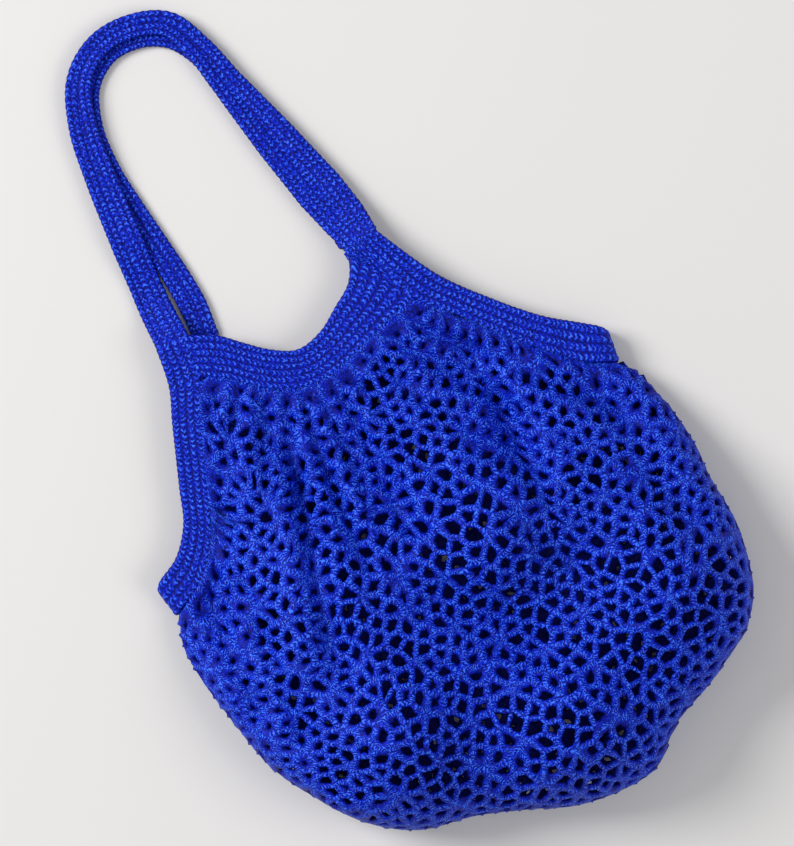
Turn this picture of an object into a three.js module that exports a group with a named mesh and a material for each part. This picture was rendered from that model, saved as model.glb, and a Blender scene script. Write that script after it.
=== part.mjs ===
// A string shopping bag lying on its back, kept in its filled form: a net pouch under a yoke of four
// solid bands, with two long strap handles. Millimetres; +X is the bag's right, +Y points to the handles,
// +Z is up. The level of the two side corners, where the front and back bands fold into each other, is
// y = 0 while the pieces are worked out, and the last lines move the whole bag so that it stands on its
// box's bottom centre.

import * as THREE from "three";

// Driving dimensions
const BAG_WIDTH = 306; // the filled pouch from side to side
const POUCH_DEPTH = 222; // from the side corners down to the bottom edge
const YOKE_RISE = 118; // from the side corners up to the feet of the front handle
const HANDLE_RISE = 166; // from the feet of the front handle up to the top of its loop
const NECK_BAND_WIDTH = 20;
const SIDE_BAND_WIDTH = 15;
const STRAP_WIDTH = 14;
const BAND_THICKNESS = 3.6;
const NET_THICKNESS = 3.2;
const MOUTH_GAP = 9; // between the back bands and the front bands at the mouth
const EDGE_HEIGHT = 20; // of the pouch's side and bottom edge above the floor
const BELLY_HEIGHT = 48; // of the front net between its full places
const BULGE_HEIGHT = 29; // by which a full place stands above the belly
const BULGE_RADIUS = 36;
const RIM_RADIUS = 27; // in plan, where the two nets turn towards each other at the pouch's edge
const FOLD_DEPTH = 12; // of the deepest crease in the front net
const SEAM_GAP = 0.3; // between pieces that are worked onto each other
const SEAM_SETTLE = 0.08; // share of the pouch's depth in which the nets leave the seam for their rims
const NET_ROWS = 6; // of gaps, from the yoke down to the bottom edge
const GAP_LENGTH = 0.42; // half the length of a gap, as a share of its cell
const GAP_WIDTH = 0.31; // half the width of a gap, as a share of its cell
const GAP_TILT = 35; // degrees, to one side and the other in turn

// Worked-out sizes
const HALF_WIDTH = BAG_WIDTH / 2;
const BACK_BAND_Z = BAND_THICKNESS / 2;
const FRONT_BAND_Z = BACK_BAND_Z + BAND_THICKNESS + MOUTH_GAP;
const FOLD_Z = (BACK_BAND_Z + FRONT_BAND_Z) / 2;
const FOLD_RADIUS = (FRONT_BAND_Z - BACK_BAND_Z) / 2;
const BACK_NET_Z = NET_THICKNESS / 2;

// The columns of gaps under the left side band, the neck band and the right side band
const SEAM_CELLS = { left: 3, neck: 4, right: 3 };
const NET_COLUMNS = SEAM_CELLS.left + SEAM_CELLS.neck + SEAM_CELLS.right;

// Side bands. x: share of half the bag's width; y: share of the yoke's rise; lean: degrees, the way from
// the band's outer edge to its inner edge; wide: share of the side band's width. The first row is the foot
// of the handle, where the band runs to the neckline and has no lean of its own. The second is where the
// neck band's lower edge meets the side band, and the last is the side corner.
const LEFT_FRONT_BAND = [
  { x: -0.555, y: 1.0, wide: 1.03 },
  { x: -0.578, y: 0.814, lean: -6, wide: 1.15 },
  { x: -0.626, y: 0.664, lean: -20, wide: 1 },
  { x: -0.733, y: 0.314, lean: -22, wide: 1 },
  { x: -0.782, y: 0.167, lean: -35, wide: 1 },
  { x: -0.86, y: 0.065, lean: -60, wide: 1.15 },
  { x: -0.962, y: 0, lean: -81, wide: 1.25 },
];
const LEFT_BACK_BAND = [
  { x: -0.422, y: 0.964, wide: 0.55 },
  { x: -0.458, y: 0.797, lean: -10, wide: 1 },
  { x: -0.503, y: 0.644, lean: -20, wide: 1 },
  { x: -0.608, y: 0.322, lean: -24, wide: 1 },
  { x: -0.686, y: 0.136, lean: -38, wide: 1 },
  { x: -0.784, y: 0.025, lean: -62, wide: 1.1 },
  { x: -0.962, y: 0, lean: -81, wide: 1.25 },
];
const RIGHT_FRONT_BAND = [
  { x: 0.36, y: 1.003, wide: 0.65 },
  { x: 0.471, y: 0.712, lean: 200, wide: 1.15 },
  { x: 0.523, y: 0.614, lean: 213, wide: 1 },
  { x: 0.608, y: 0.482, lean: 220, wide: 1 },
  { x: 0.724, y: 0.318, lean: 225, wide: 1.1 },
  { x: 0.824, y: 0.207, lean: 235, wide: 1.25 },
  { x: 0.882, y: 0.161, lean: 250, wide: 1.45 },
  { x: 0.936, y: 0.1, lean: 262, wide: 1.28 },
];
const RIGHT_BACK_BAND = [
  { x: 0.34, y: 0.987, wide: 0.6 },
  { x: 0.431, y: 0.729, lean: 200, wide: 1.1 },
  { x: 0.497, y: 0.602, lean: 214, wide: 1 },
  { x: 0.585, y: 0.466, lean: 221, wide: 1 },
  { x: 0.699, y: 0.301, lean: 226, wide: 1 },
  { x: 0.804, y: 0.182, lean: 238, wide: 1.15 },
  { x: 0.869, y: 0.14, lean: 252, wide: 1.35 },
  { x: 0.936, y: 0.1, lean: 262, wide: 1.28 },
];

// Neck bands, from the left handle's foot to the right one's. x and y as above, along the neckline; lean:
// the way from the neckline to the lower edge; wide: share of the neck band's width. The first and the last
// row have no lean and width, because those two ends lie along the side bands.
const FRONT_NECK = [
  { x: -0.431, y: 1.0 },
  { x: -0.379, y: 0.958, lean: -100, wide: 1.2 },
  { x: -0.326, y: 0.91, lean: -103, wide: 1.2 },
  { x: -0.222, y: 0.78, lean: -112, wide: 1.08 },
  { x: -0.125, y: 0.692, lean: -103, wide: 1.02 },
  { x: -0.082, y: 0.685, lean: -90, wide: 1.02 },
  { x: 0.02, y: 0.717, lean: -76, wide: 1.08 },
  { x: 0.104, y: 0.788, lean: -62, wide: 1.3 },
  { x: 0.194, y: 0.871, lean: -55, wide: 1.65 },
  { x: 0.232, y: 0.966 },
];
const BACK_NECK = [
  { x: -0.33, y: 0.964 },
  { x: -0.32, y: 0.92, lean: -98, wide: 1.15 },
  { x: -0.307, y: 0.89, lean: -101, wide: 1.1 },
  { x: -0.222, y: 0.75, lean: -112, wide: 1.05 },
  { x: -0.131, y: 0.665, lean: -103, wide: 1 },
  { x: -0.078, y: 0.657, lean: -90, wide: 1 },
  { x: 0.02, y: 0.686, lean: -76, wide: 1.05 },
  { x: 0.095, y: 0.754, lean: -62, wide: 1.2 },
  { x: 0.183, y: 0.847, lean: -55, wide: 1.45 },
  { x: 0.222, y: 0.958 },
];

// Handles, from the left foot over the loop to the right foot, which the yoke gives. x: share of half the
// bag's width; rise: share of the handle's rise above the front feet; wide: share of the strap's width;
// over: 0 on the floor, 1 on the other handle; groove: depth down the strap's middle, as a share of its
// thickness.
const FRONT_HANDLE = [
  { x: -0.494, rise: 0.12, wide: 1.26, over: 0.6, groove: 0 },
  { x: -0.487, rise: 0.22, wide: 1.2, over: 0.25, groove: 0.1 },
  { x: -0.474, rise: 0.36, wide: 1.24, over: 1.1, groove: 0.2 },
  { x: -0.449, rise: 0.608, wide: 1.16, over: 1, groove: 0.2 },
  { x: -0.419, rise: 0.789, wide: 1.05, over: 1, groove: 0.2 },
  { x: -0.349, rise: 0.936, wide: 0.92, over: 1, groove: 0.2 },
  { x: -0.225, rise: 1.01, wide: 0.88, over: 1, groove: 0.2 },
  { x: -0.08, rise: 1.011, wide: 0.88, over: 1, groove: 0.2 },
  { x: 0.034, rise: 0.96, wide: 0.94, over: 1, groove: 0.2 },
  { x: 0.091, rise: 0.843, wide: 1.02, over: 1, groove: 0.3 },
  { x: 0.127, rise: 0.693, wide: 1.2, over: 1, groove: 0.4 },
  { x: 0.188, rise: 0.446, wide: 1.66, over: 1, groove: 0.45 },
  { x: 0.2435, rise: 0.227, wide: 1.88, over: 1.2, groove: 0.35 },
  { x: 0.275, rise: 0.1, wide: 1.75, over: 1.7, groove: 0.15 },
];
const BACK_HANDLE = [
  { x: -0.367, rise: 0.08, wide: 1.04, over: 0, groove: 0 },
  { x: -0.371, rise: 0.187, wide: 1, over: 0, groove: 0.1 },
  { x: -0.382, rise: 0.301, wide: 0.95, over: 0, groove: 0.1 },
  { x: -0.4, rise: 0.458, wide: 0.93, over: 0, groove: 0.1 },
  { x: -0.412, rise: 0.608, wide: 0.9, over: 0, groove: 0.1 },
  { x: -0.396, rise: 0.771, wide: 0.89, over: 0, groove: 0.1 },
  { x: -0.331, rise: 0.904, wide: 0.86, over: 0, groove: 0.1 },
  { x: -0.213, rise: 0.975, wide: 0.86, over: 0, groove: 0.1 },
  { x: -0.08, rise: 0.972, wide: 0.86, over: 0, groove: 0.1 },
  { x: 0.02, rise: 0.922, wide: 0.86, over: 0, groove: 0.1 },
  { x: 0.085, rise: 0.83, wide: 0.9, over: 0, groove: 0.1 },
  { x: 0.124, rise: 0.693, wide: 1, over: 0, groove: 0.1 },
  { x: 0.183, rise: 0.446, wide: 1.15, over: 0, groove: 0.1 },
  { x: 0.235, rise: 0.227, wide: 1.25, over: 0, groove: 0.1 },
];

// The pouch's edge, from the left side corner round the bottom to the right one. x: share of half the bag's
// width; drop: share of the pouch's depth. The left and right sides start at the side corners, which the
// side bands give, and each side's last row is the bottom's first or last one.
const LEFT_SIDE = [
  { x: -0.972, drop: 0.18 },
  { x: -0.966, drop: 0.253 },
  { x: -0.94, drop: 0.364 },
  { x: -0.897, drop: 0.514 },
  { x: -0.858, drop: 0.579 },
  { x: -0.76, drop: 0.688 },
];
const RIGHT_SIDE = [
  { x: 0.95, drop: 0.068 },
  { x: 0.996, drop: 0.176 },
  { x: 1.019, drop: 0.301 },
  { x: 1.012, drop: 0.404 },
  { x: 1.02, drop: 0.522 },
  { x: 1.008, drop: 0.59 },
  { x: 0.96, drop: 0.703 },
  { x: 0.873, drop: 0.781 },
];
const BOTTOM = [
  { x: -0.76, drop: 0.688 },
  { x: -0.682, drop: 0.76 },
  { x: -0.585, drop: 0.817 },
  { x: -0.494, drop: 0.85 },
  { x: -0.313, drop: 0.878 },
  { x: -0.119, drop: 0.929 },
  { x: 0.019, drop: 0.97 },
  { x: 0.173, drop: 0.99 },
  { x: 0.349, drop: 0.982 },
  { x: 0.486, drop: 0.908 },
  { x: 0.667, drop: 0.856 },
  { x: 0.873, drop: 0.781 },
];

// The full places of the pouch, as the net keeps them. x and drop as above; high: share of the bulge's
// height.
const BULGES = [
  { x: 0.208, drop: 0.269, high: 0.95 },
  { x: 0.678, drop: 0.609, high: 1 },
  { x: -0.412, drop: 0.61, high: 1 },
  { x: 0.163, drop: 0.788, high: 0.95 },
  { x: -0.45, drop: 0.231, high: 0.35 },
];

// The long creases of the front net. x and drop of both ends as above, negative above the side corners;
// deep: share of the fold's depth; half: half its width, as a share of half the bag's width.
const CREASES = [
  { x1: -0.27, drop1: -0.25, x2: -0.49, drop2: 0.4, deep: 0.5, half: 0.07 },
  { x1: 0.36, drop1: -0.24, x2: 0.44, drop2: 0.1, deep: 1, half: 0.11 },
  { x1: 0.81, drop1: 0.05, x2: 0.88, drop2: 0.48, deep: 0.7, half: 0.07 },
  { x1: -0.05, drop1: 0.35, x2: 0.16, drop2: 0.58, deep: 0.7, half: 0.08 },
];

// Small helpers

function mix(a, b, share) {
  return a + (b - a) * share;
}

function ease(start, end, value) {
  return THREE.MathUtils.smoothstep(value, start, end);
}

function onYoke(row) {
  return new THREE.Vector3(row.x * HALF_WIDTH, row.y * YOKE_RISE, 0);
}

function onPouch(row) {
  return new THREE.Vector3(row.x * HALF_WIDTH, -row.drop * POUCH_DEPTH, 0);
}

function leant(point, lean, length) {
  const angle = THREE.MathUtils.degToRad(lean);
  return new THREE.Vector3(point.x + length * Math.cos(angle), point.y + length * Math.sin(angle), 0);
}

// Points at equal shares of a smooth curve's length, drawn through the given points.
function smooth(points, steps) {
  const curve = new THREE.CatmullRomCurve3(points, false, "centripetal");
  return curve.getSpacedPoints(steps);
}

// The point at a share of a chain of straight pieces, each of which takes an equal part of the share.
function along(chain, share) {
  const spot = THREE.MathUtils.clamp(share, 0, 1) * (chain.length - 1);
  const index = Math.min(Math.floor(spot), chain.length - 2);
  return chain[index].clone().lerp(chain[index + 1], spot - index);
}

// A closed mesh from its points and triangles, with its faces turned outwards.
function closedMesh(points, triangles) {
  let volume = 0;
  for (const [a, b, c] of triangles) {
    volume += points[a].dot(new THREE.Vector3().crossVectors(points[b], points[c]));
  }
  const turned = volume < 0 ? triangles.map(([a, b, c]) => [a, c, b]) : triangles;
  const geometry = new THREE.BufferGeometry();
  geometry.setAttribute("position", new THREE.Float32BufferAttribute(points.flatMap((p) => p.toArray()), 3));
  geometry.setIndex(turned.flat());
  geometry.computeVertexNormals();
  return geometry;
}

// Bands and straps

// A strip's section: across from the outer edge to the inner one, as a share of its width, and up from its
// middle, as a share of its thickness. Its two edges are worn round, and the last but one point is its
// groove.
const STRIP_SECTION = [
  { across: 0, up: 0 },
  { across: 0.1, up: -0.5 },
  { across: 0.9, up: -0.5 },
  { across: 1, up: 0 },
  { across: 0.9, up: 0.5 },
  { across: 0.5, up: 0.5, groove: true },
  { across: 0.1, up: 0.5 },
];

// A strip of cloth of one thickness. Each section has its outer and inner edge point, and may have a groove.
// An end that lies against another piece stands upright, and its section says so.
function strip(sections) {
  const points = [];
  const triangles = [];
  const sides = STRIP_SECTION.length;
  const middles = sections.map(({ outer, inner }) => outer.clone().lerp(inner, 0.5));
  sections.forEach(({ outer, inner, groove = 0, upright = false }, index) => {
    const before = middles[Math.max(index - 1, 0)];
    const after = middles[Math.min(index + 1, middles.length - 1)];
    const across = inner.clone().sub(outer);
    const up = new THREE.Vector3().crossVectors(across, after.clone().sub(before)).normalize();
    if (upright) up.set(0, 0, Math.sign(up.z));
    for (const spot of STRIP_SECTION) {
      const depth = spot.groove ? groove : 0;
      const lift = (spot.up - depth) * BAND_THICKNESS;
      points.push(outer.clone().addScaledVector(across, spot.across).addScaledVector(up, lift));
    }
    if (index === 0) return;
    for (let side = 0; side < sides; side += 1) {
      const a = (index - 1) * sides + side;
      const b = (index - 1) * sides + ((side + 1) % sides);
      triangles.push([a, b, b + sides], [a, b + sides, a + sides]);
    }
  });
  const last = (sections.length - 1) * sides;
  for (let side = 1; side < sides - 1; side += 1) {
    triangles.push([0, side + 1, side], [last, last + side, last + side + 1]);
  }
  return closedMesh(points, triangles);
}

// The edges of one half of a side band, as chains from the handle's foot to the side corner. The first link
// is the straight stretch beside the neck band; the others have their inner points on the net's seam.
function sideBandEdges(rows, neckEnd, cells) {
  const [foot, ...outerPoints] = rows.map(onYoke);
  const footWay = onYoke(neckEnd).sub(foot).setLength(rows[0].wide * SIDE_BAND_WIDTH);
  const innerPoints = outerPoints.map((point, index) => {
    const { lean, wide } = rows[index + 1];
    return leant(point, lean, wide * SIDE_BAND_WIDTH);
  });
  return {
    outer: [foot, ...smooth(outerPoints, 2 * cells)],
    inner: [foot.clone().add(footWay), ...smooth(innerPoints, 2 * cells)],
  };
}

// The edges of a neck band. Its two ends lie along the side bands' first links, and the lower edge between
// them has its points on the net's seam.
function neckBandEdges(rows, left, right) {
  const neckline = rows.map(onYoke);
  const lower = rows.slice(1, -1).map(({ lean, wide }, index) => {
    return leant(neckline[index + 1], lean, wide * NECK_BAND_WIDTH);
  });
  const steps = 2 * SEAM_CELLS.neck;
  return {
    outer: smooth(neckline, steps),
    inner: smooth([left.inner[1], ...lower, right.inner[1]], steps),
  };
}

const frontLeft = sideBandEdges(LEFT_FRONT_BAND, FRONT_NECK[0], SEAM_CELLS.left);
const frontRight = sideBandEdges(RIGHT_FRONT_BAND, FRONT_NECK[FRONT_NECK.length - 1], SEAM_CELLS.right);
const backLeft = sideBandEdges(LEFT_BACK_BAND, BACK_NECK[0], SEAM_CELLS.left);
const backRight = sideBandEdges(RIGHT_BACK_BAND, BACK_NECK[BACK_NECK.length - 1], SEAM_CELLS.right);
const frontNeck = neckBandEdges(FRONT_NECK, frontLeft, frontRight);
const backNeck = neckBandEdges(BACK_NECK, backLeft, backRight);

// A strip's section at one height, drawn back from the seam by the seam's gap.
function levelSection(outer, inner, z) {
  const width = outer.distanceTo(inner);
  const drawn = inner.clone().lerp(outer, SEAM_GAP / width);
  return { outer: outer.clone().setZ(z), inner: drawn.setZ(z) };
}

// The sections of one half of a side band, from the foot to the fold at the side corner, where it turns
// through a quarter of a circle.
function limbSections({ outer, inner }, z) {
  const links = outer.length - 1;
  const sections = [];
  for (let half = 0; half <= 2 * (links - 1); half += 1) {
    const share = half / 2 / links;
    sections.push(levelSection(along(outer, share), along(inner, share), z));
  }
  const lastLink = along(outer, 1).distanceTo(along(outer, 1 - 1 / links));
  for (const angle of [90, 60, 30, 0]) {
    const turn = THREE.MathUtils.degToRad(angle);
    const inset = (FOLD_RADIUS * (1 - Math.cos(turn))) / lastLink / links;
    const height = mix(FOLD_Z, z, Math.sin(turn));
    sections.push(levelSection(along(outer, 1 - inset), along(inner, 1 - inset), height));
  }
  return sections;
}

function sideBand(front, back) {
  const down = limbSections(front, FRONT_BAND_Z);
  const up = limbSections(back, BACK_BAND_Z).reverse();
  return strip([...down, ...up.slice(1)]);
}

function neckBand(neck, left, right, z) {
  const sections = [];
  const firstLink = levelSection(left.inner[0], left.inner[1], z);
  const lastLink = levelSection(right.inner[0], right.inner[1], z);
  const aside = new THREE.Vector3(SEAM_GAP, 0, 0);
  firstLink.outer.add(aside);
  firstLink.inner.add(aside);
  lastLink.outer.sub(aside);
  lastLink.inner.sub(aside);
  sections.push(firstLink);
  const links = neck.outer.length - 1;
  for (let half = 1; half < 2 * links; half += 1) {
    const share = half / 2 / links;
    sections.push(levelSection(along(neck.outer, share), along(neck.inner, share), z));
  }
  const corner = levelSection(neck.outer[links], neck.inner[links], z);
  corner.inner.sub(aside);
  sections.push(corner);
  const end = levelSection(neck.outer[links], right.inner[0], z);
  end.inner.sub(aside);
  sections.push(end);
  return strip(sections);
}

// A handle, from the yoke's left foot over its loop to the right foot. A foot runs from the side band's
// outer edge to the neckline, and the strap's end lies along it.
function handle(rows, feet, footZ) {
  const overlap = BAND_THICKNESS + SEAM_GAP;
  const middles = rows.map((row) => {
    const y = YOKE_RISE + row.rise * HANDLE_RISE;
    return new THREE.Vector3(row.x * HALF_WIDTH, y, BACK_BAND_Z + row.over * overlap);
  });
  const footMiddles = feet.map(({ outer, inner }) => {
    const middle = outer.clone().lerp(inner, 0.5);
    return middle.setZ(footZ).add(new THREE.Vector3(0, SEAM_GAP, 0));
  });
  const path = [footMiddles[0], ...middles, footMiddles[1]];
  const widths = [feet[0], ...rows, feet[1]].map((row) => {
    return row.outer ? row.outer.distanceTo(row.inner) : row.wide * STRAP_WIDTH;
  });
  const grooves = [0, ...rows.map((row) => row.groove), 0];
  const curve = new THREE.CatmullRomCurve3(path, false, "centripetal");
  const steps = 4 * (path.length - 1);
  const sections = [];
  for (let step = 0; step <= steps; step += 1) {
    const share = step / steps;
    const spot = share * (path.length - 1);
    const index = Math.min(Math.floor(spot), path.length - 2);
    const width = mix(widths[index], widths[index + 1], spot - index);
    const groove = mix(grooves[index], grooves[index + 1], spot - index);
    const middle = curve.getPoint(share);
    const tangent = curve.getTangent(share);
    const across = new THREE.Vector3(tangent.y, -tangent.x, 0).normalize();
    if (step === 0) across.copy(feet[0].inner).sub(feet[0].outer).normalize();
    if (step === steps) across.copy(feet[1].outer).sub(feet[1].inner).normalize();
    const outer = middle.clone().addScaledVector(across, -width / 2);
    const inner = middle.clone().addScaledVector(across, width / 2);
    sections.push({ outer, inner, groove, upright: step === 0 || step === steps });
  }
  return strip(sections);
}

// The net's surfaces

// The net's corner under a side band. The net stands on its edge there, so it starts half its thickness
// lower.
function cornerUnder(band) {
  const corner = band.inner[band.inner.length - 1].clone();
  return corner.setY(corner.y - NET_THICKNESS / 2);
}

// The seam between the yoke and a net, from the left side corner to the right one.
function seam(left, neck, right) {
  const leftPart = left.inner.slice(1, -1).reverse();
  const rightPart = right.inner.slice(2, -1);
  return [cornerUnder(left), ...leftPart, ...neck.inner.slice(1), ...rightPart, cornerUnder(right)];
}

const bottomChain = smooth(BOTTOM.map(onPouch), 2 * NET_COLUMNS);
const leftChain = smooth([cornerUnder(frontLeft), ...LEFT_SIDE.map(onPouch)], 2 * NET_ROWS);
const rightChain = smooth([cornerUnder(frontRight), ...RIGHT_SIDE.map(onPouch)], 2 * NET_ROWS);

// The place in plan of a share across and a share down, between the seam and the three other sides.
function planPoint(top, across, down) {
  const fromSeam = along(top, across).multiplyScalar(1 - down);
  const fromBottom = along(bottomChain, across).multiplyScalar(down);
  const fromLeft = along(leftChain, down).multiplyScalar(1 - across);
  const fromRight = along(rightChain, down).multiplyScalar(across);
  const corners = top[0].clone().multiplyScalar((1 - across) * (1 - down));
  corners.addScaledVector(top[top.length - 1], across * (1 - down));
  corners.addScaledVector(bottomChain[0], (1 - across) * down);
  corners.addScaledVector(bottomChain[bottomChain.length - 1], across * down);
  return fromSeam.add(fromBottom).add(fromLeft).add(fromRight).sub(corners);
}

// Where a sheet turns over a round rim at the end of a span: how far in it lies, as a share of the span, and
// how far it has turned, from 0 at the edge to 1 on top.
function overRim(share, radius, span) {
  const arc = (radius * Math.PI) / 2;
  const length = span - radius + arc;
  const travelled = share * length;
  if (travelled >= arc) return { inset: (travelled - arc + radius) / span, lift: 1 };
  const turn = travelled / radius;
  return { inset: (radius * (1 - Math.cos(turn))) / span, lift: Math.sin(turn) };
}

// The same from both sides of the bag.
function acrossRims(across, radius) {
  const fromEdge = Math.min(across, 1 - across);
  const { inset, lift } = overRim(2 * fromEdge, radius, HALF_WIDTH);
  return { across: across < 0.5 ? inset / 2 : 1 - inset / 2, lift };
}

function distanceToCrease(point, crease) {
  const start = onPouch({ x: crease.x1, drop: crease.drop1 });
  const end = onPouch({ x: crease.x2, drop: crease.drop2 });
  const line = new THREE.Line3(start, end);
  return line.closestPointToPoint(point, true, new THREE.Vector3()).distanceTo(point);
}

// How high the front net stands at a place in plan, away from its rims.
function crownHeight(point, down) {
  let height = mix(FRONT_BAND_Z, BELLY_HEIGHT, ease(0, 0.5, down));
  for (const bulge of BULGES) {
    const away = onPouch(bulge).distanceTo(point) / BULGE_RADIUS;
    height += bulge.high * BULGE_HEIGHT * Math.exp(-away * away) * ease(0, 0.25, down);
  }
  for (const crease of CREASES) {
    const away = distanceToCrease(point, crease) / (crease.half * HALF_WIDTH);
    height -= crease.deep * FOLD_DEPTH * Math.exp(-away * away) * ease(0, 0.2, down);
  }
  return height;
}

// A net's middle surface, on one side of the pouch's edge: 1 above it, -1 below it. Its rims start as tight
// as the bands' fold at the side corners and widen down the sides.
function netSurface(top, side, heightOf) {
  return (acrossShare, downShare) => {
    const radius = mix(FOLD_RADIUS, RIM_RADIUS, ease(0, 0.35, downShare));
    const rims = acrossRims(acrossShare, radius);
    const rimmed = ease(0, SEAM_SETTLE, downShare);
    const across = mix(acrossShare, rims.across, rimmed);
    const bottomRim = overRim(1 - downShare, RIM_RADIUS, POUCH_DEPTH);
    const down = 1 - bottomRim.inset;
    const point = planPoint(top, across, down);
    const parted = side * mix(NET_THICKNESS / 2, SEAM_GAP / 2, ease(0, 2 * SEAM_SETTLE, downShare));
    const edge = mix(FOLD_Z, EDGE_HEIGHT, ease(0, 0.45, downShare)) + parted;
    return point.setZ(mix(edge, heightOf(point, downShare), Math.min(rims.lift, bottomRim.lift)));
  };
}

const frontSeam = seam(frontLeft, frontNeck, frontRight);
const backSeam = seam(backLeft, backNeck, backRight);
const frontSurface = netSurface(frontSeam, 1, crownHeight);
const backSurface = netSurface(backSeam, -1, () => BACK_NET_Z);

// Nets

const NUDGE = 1e-3; // the share by which a surface is felt for its slope, always inside its edges

function surfaceNormal(surface, across, down) {
  const column = THREE.MathUtils.clamp(across, 2 * NUDGE, 1 - 2 * NUDGE);
  const row = THREE.MathUtils.clamp(down, 2 * NUDGE, 1 - 2 * NUDGE);
  const alongRow = surface(column + NUDGE, row).sub(surface(column - NUDGE, row));
  const alongColumn = surface(column, row + NUDGE).sub(surface(column, row - NUDGE));
  return new THREE.Vector3().crossVectors(alongColumn, alongRow).normalize();
}

// The eight points round a cell, as half steps from its upper left corner.
const CELL_RING = [[0, 0], [1, 0], [2, 0], [2, 1], [2, 2], [1, 2], [0, 2], [0, 1]];

// How far a gap's edge lies from its middle in one direction: an ellipse, turned by its tilt.
function gapReach(angle, tilt) {
  const turned = angle - tilt;
  return 1 / Math.hypot(Math.cos(turned) / GAP_LENGTH, Math.sin(turned) / GAP_WIDTH);
}

// A net of one thickness on a surface: a lattice of cells, each with a leaf-shaped gap that leans to one
// side and the other in turn.
function net(surface) {
  const points = [];
  const triangles = [];
  const wide = 2 * NET_COLUMNS;
  const high = 2 * NET_ROWS;

  // Two points, on the outer and the inner side, at a place in half cells; returns the first one's number.
  function addPair(column, row) {
    const across = column / wide;
    const down = row / high;
    const middle = surface(across, down);
    const normal = surfaceNormal(surface, across, down);
    points.push(middle.clone().addScaledVector(normal, NET_THICKNESS / 2));
    points.push(middle.clone().addScaledVector(normal, -NET_THICKNESS / 2));
    return points.length - 2;
  }

  // A four-sided piece of both sides between the pairs a, b, c and d.
  function addPatch(a, b, c, d) {
    triangles.push([a, b, c], [a, c, d], [a + 1, c + 1, b + 1], [a + 1, d + 1, c + 1]);
  }

  // The wall through the net's thickness from pair a to pair b.
  function addWall(a, b) {
    triangles.push([a, a + 1, b + 1], [a, b + 1, b]);
  }

  const nodes = new Map();
  function node(column, row) {
    const key = column + row * (wide + 1);
    if (!nodes.has(key)) nodes.set(key, addPair(column, row));
    return nodes.get(key);
  }

  for (let row = 0; row < NET_ROWS; row += 1) {
    for (let column = 0; column < NET_COLUMNS; column += 1) {
      const side = (row + column) % 2 === 0 ? 1 : -1;
      const tilt = Math.PI / 2 + side * THREE.MathUtils.degToRad(GAP_TILT);
      const ring = CELL_RING.map(([right, below]) => node(2 * column + right, 2 * row + below));
      const gap = CELL_RING.map(([right, below]) => {
        const angle = Math.atan2(below - 1, right - 1);
        const reach = 2 * gapReach(angle, tilt);
        return addPair(2 * column + 1 + reach * Math.cos(angle), 2 * row + 1 + reach * Math.sin(angle));
      });
      for (let corner = 0; corner < ring.length; corner += 1) {
        const next = (corner + 1) % ring.length;
        addPatch(ring[corner], gap[corner], gap[next], ring[next]);
        addWall(gap[corner], gap[next]);
      }
    }
  }
  for (let column = 0; column < wide; column += 1) {
    addWall(node(column + 1, 0), node(column, 0));
    addWall(node(column, high), node(column + 1, high));
  }
  for (let row = 0; row < high; row += 1) {
    addWall(node(0, row), node(0, row + 1));
    addWall(node(wide, row + 1), node(wide, row));
  }
  return closedMesh(points, triangles);
}

// The bag

const yarn = new THREE.MeshStandardMaterial({ color: 0x0a34c8, roughness: 0.55, metalness: 0 });

const bag = new THREE.Group();

function addPiece(name, geometry) {
  const piece = new THREE.Mesh(geometry, yarn.clone());
  piece.name = name;
  bag.add(piece);
}

const frontFeet = [
  { outer: frontLeft.outer[0], inner: frontNeck.outer[0] },
  { outer: frontRight.outer[0], inner: frontNeck.outer[frontNeck.outer.length - 1] },
];
const backFeet = [
  { outer: backLeft.outer[0], inner: backNeck.outer[0] },
  { outer: backRight.outer[0], inner: backNeck.outer[backNeck.outer.length - 1] },
];

addPiece("net_front", net(frontSurface));
addPiece("net_back", net(backSurface));
addPiece("neck_band_front", neckBand(frontNeck, frontLeft, frontRight, FRONT_BAND_Z));
addPiece("neck_band_back", neckBand(backNeck, backLeft, backRight, BACK_BAND_Z));
addPiece("side_band_left", sideBand(frontLeft, backLeft));
addPiece("side_band_right", sideBand(frontRight, backRight));
addPiece("handle_front", handle(FRONT_HANDLE, frontFeet, FRONT_BAND_Z));
addPiece("handle_back", handle(BACK_HANDLE, backFeet, BACK_BAND_Z));

const box = new THREE.Box3().setFromObject(bag);
const middle = box.getCenter(new THREE.Vector3());
bag.position.set(-middle.x, -middle.y, -box.min.z);

export default bag;
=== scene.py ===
# %% [markdown]
# # A string shopping bag, lying on its back
# The bag is crocheted from one blue yarn. Its pouch is an open lace net, front and back, and its yoke and its
# two long handles are worked solid, in rows of close stitches. The frame below holds the plain solids of the
# eight pieces, in their true places. Each step of this lesson replaces some of them with the worked cloth.

# %% Load the frame
import math
from collections import Counter

import bpy
import numpy as np
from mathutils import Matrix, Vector
from mathutils.geometry import delaunay_2d_cdt


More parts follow.
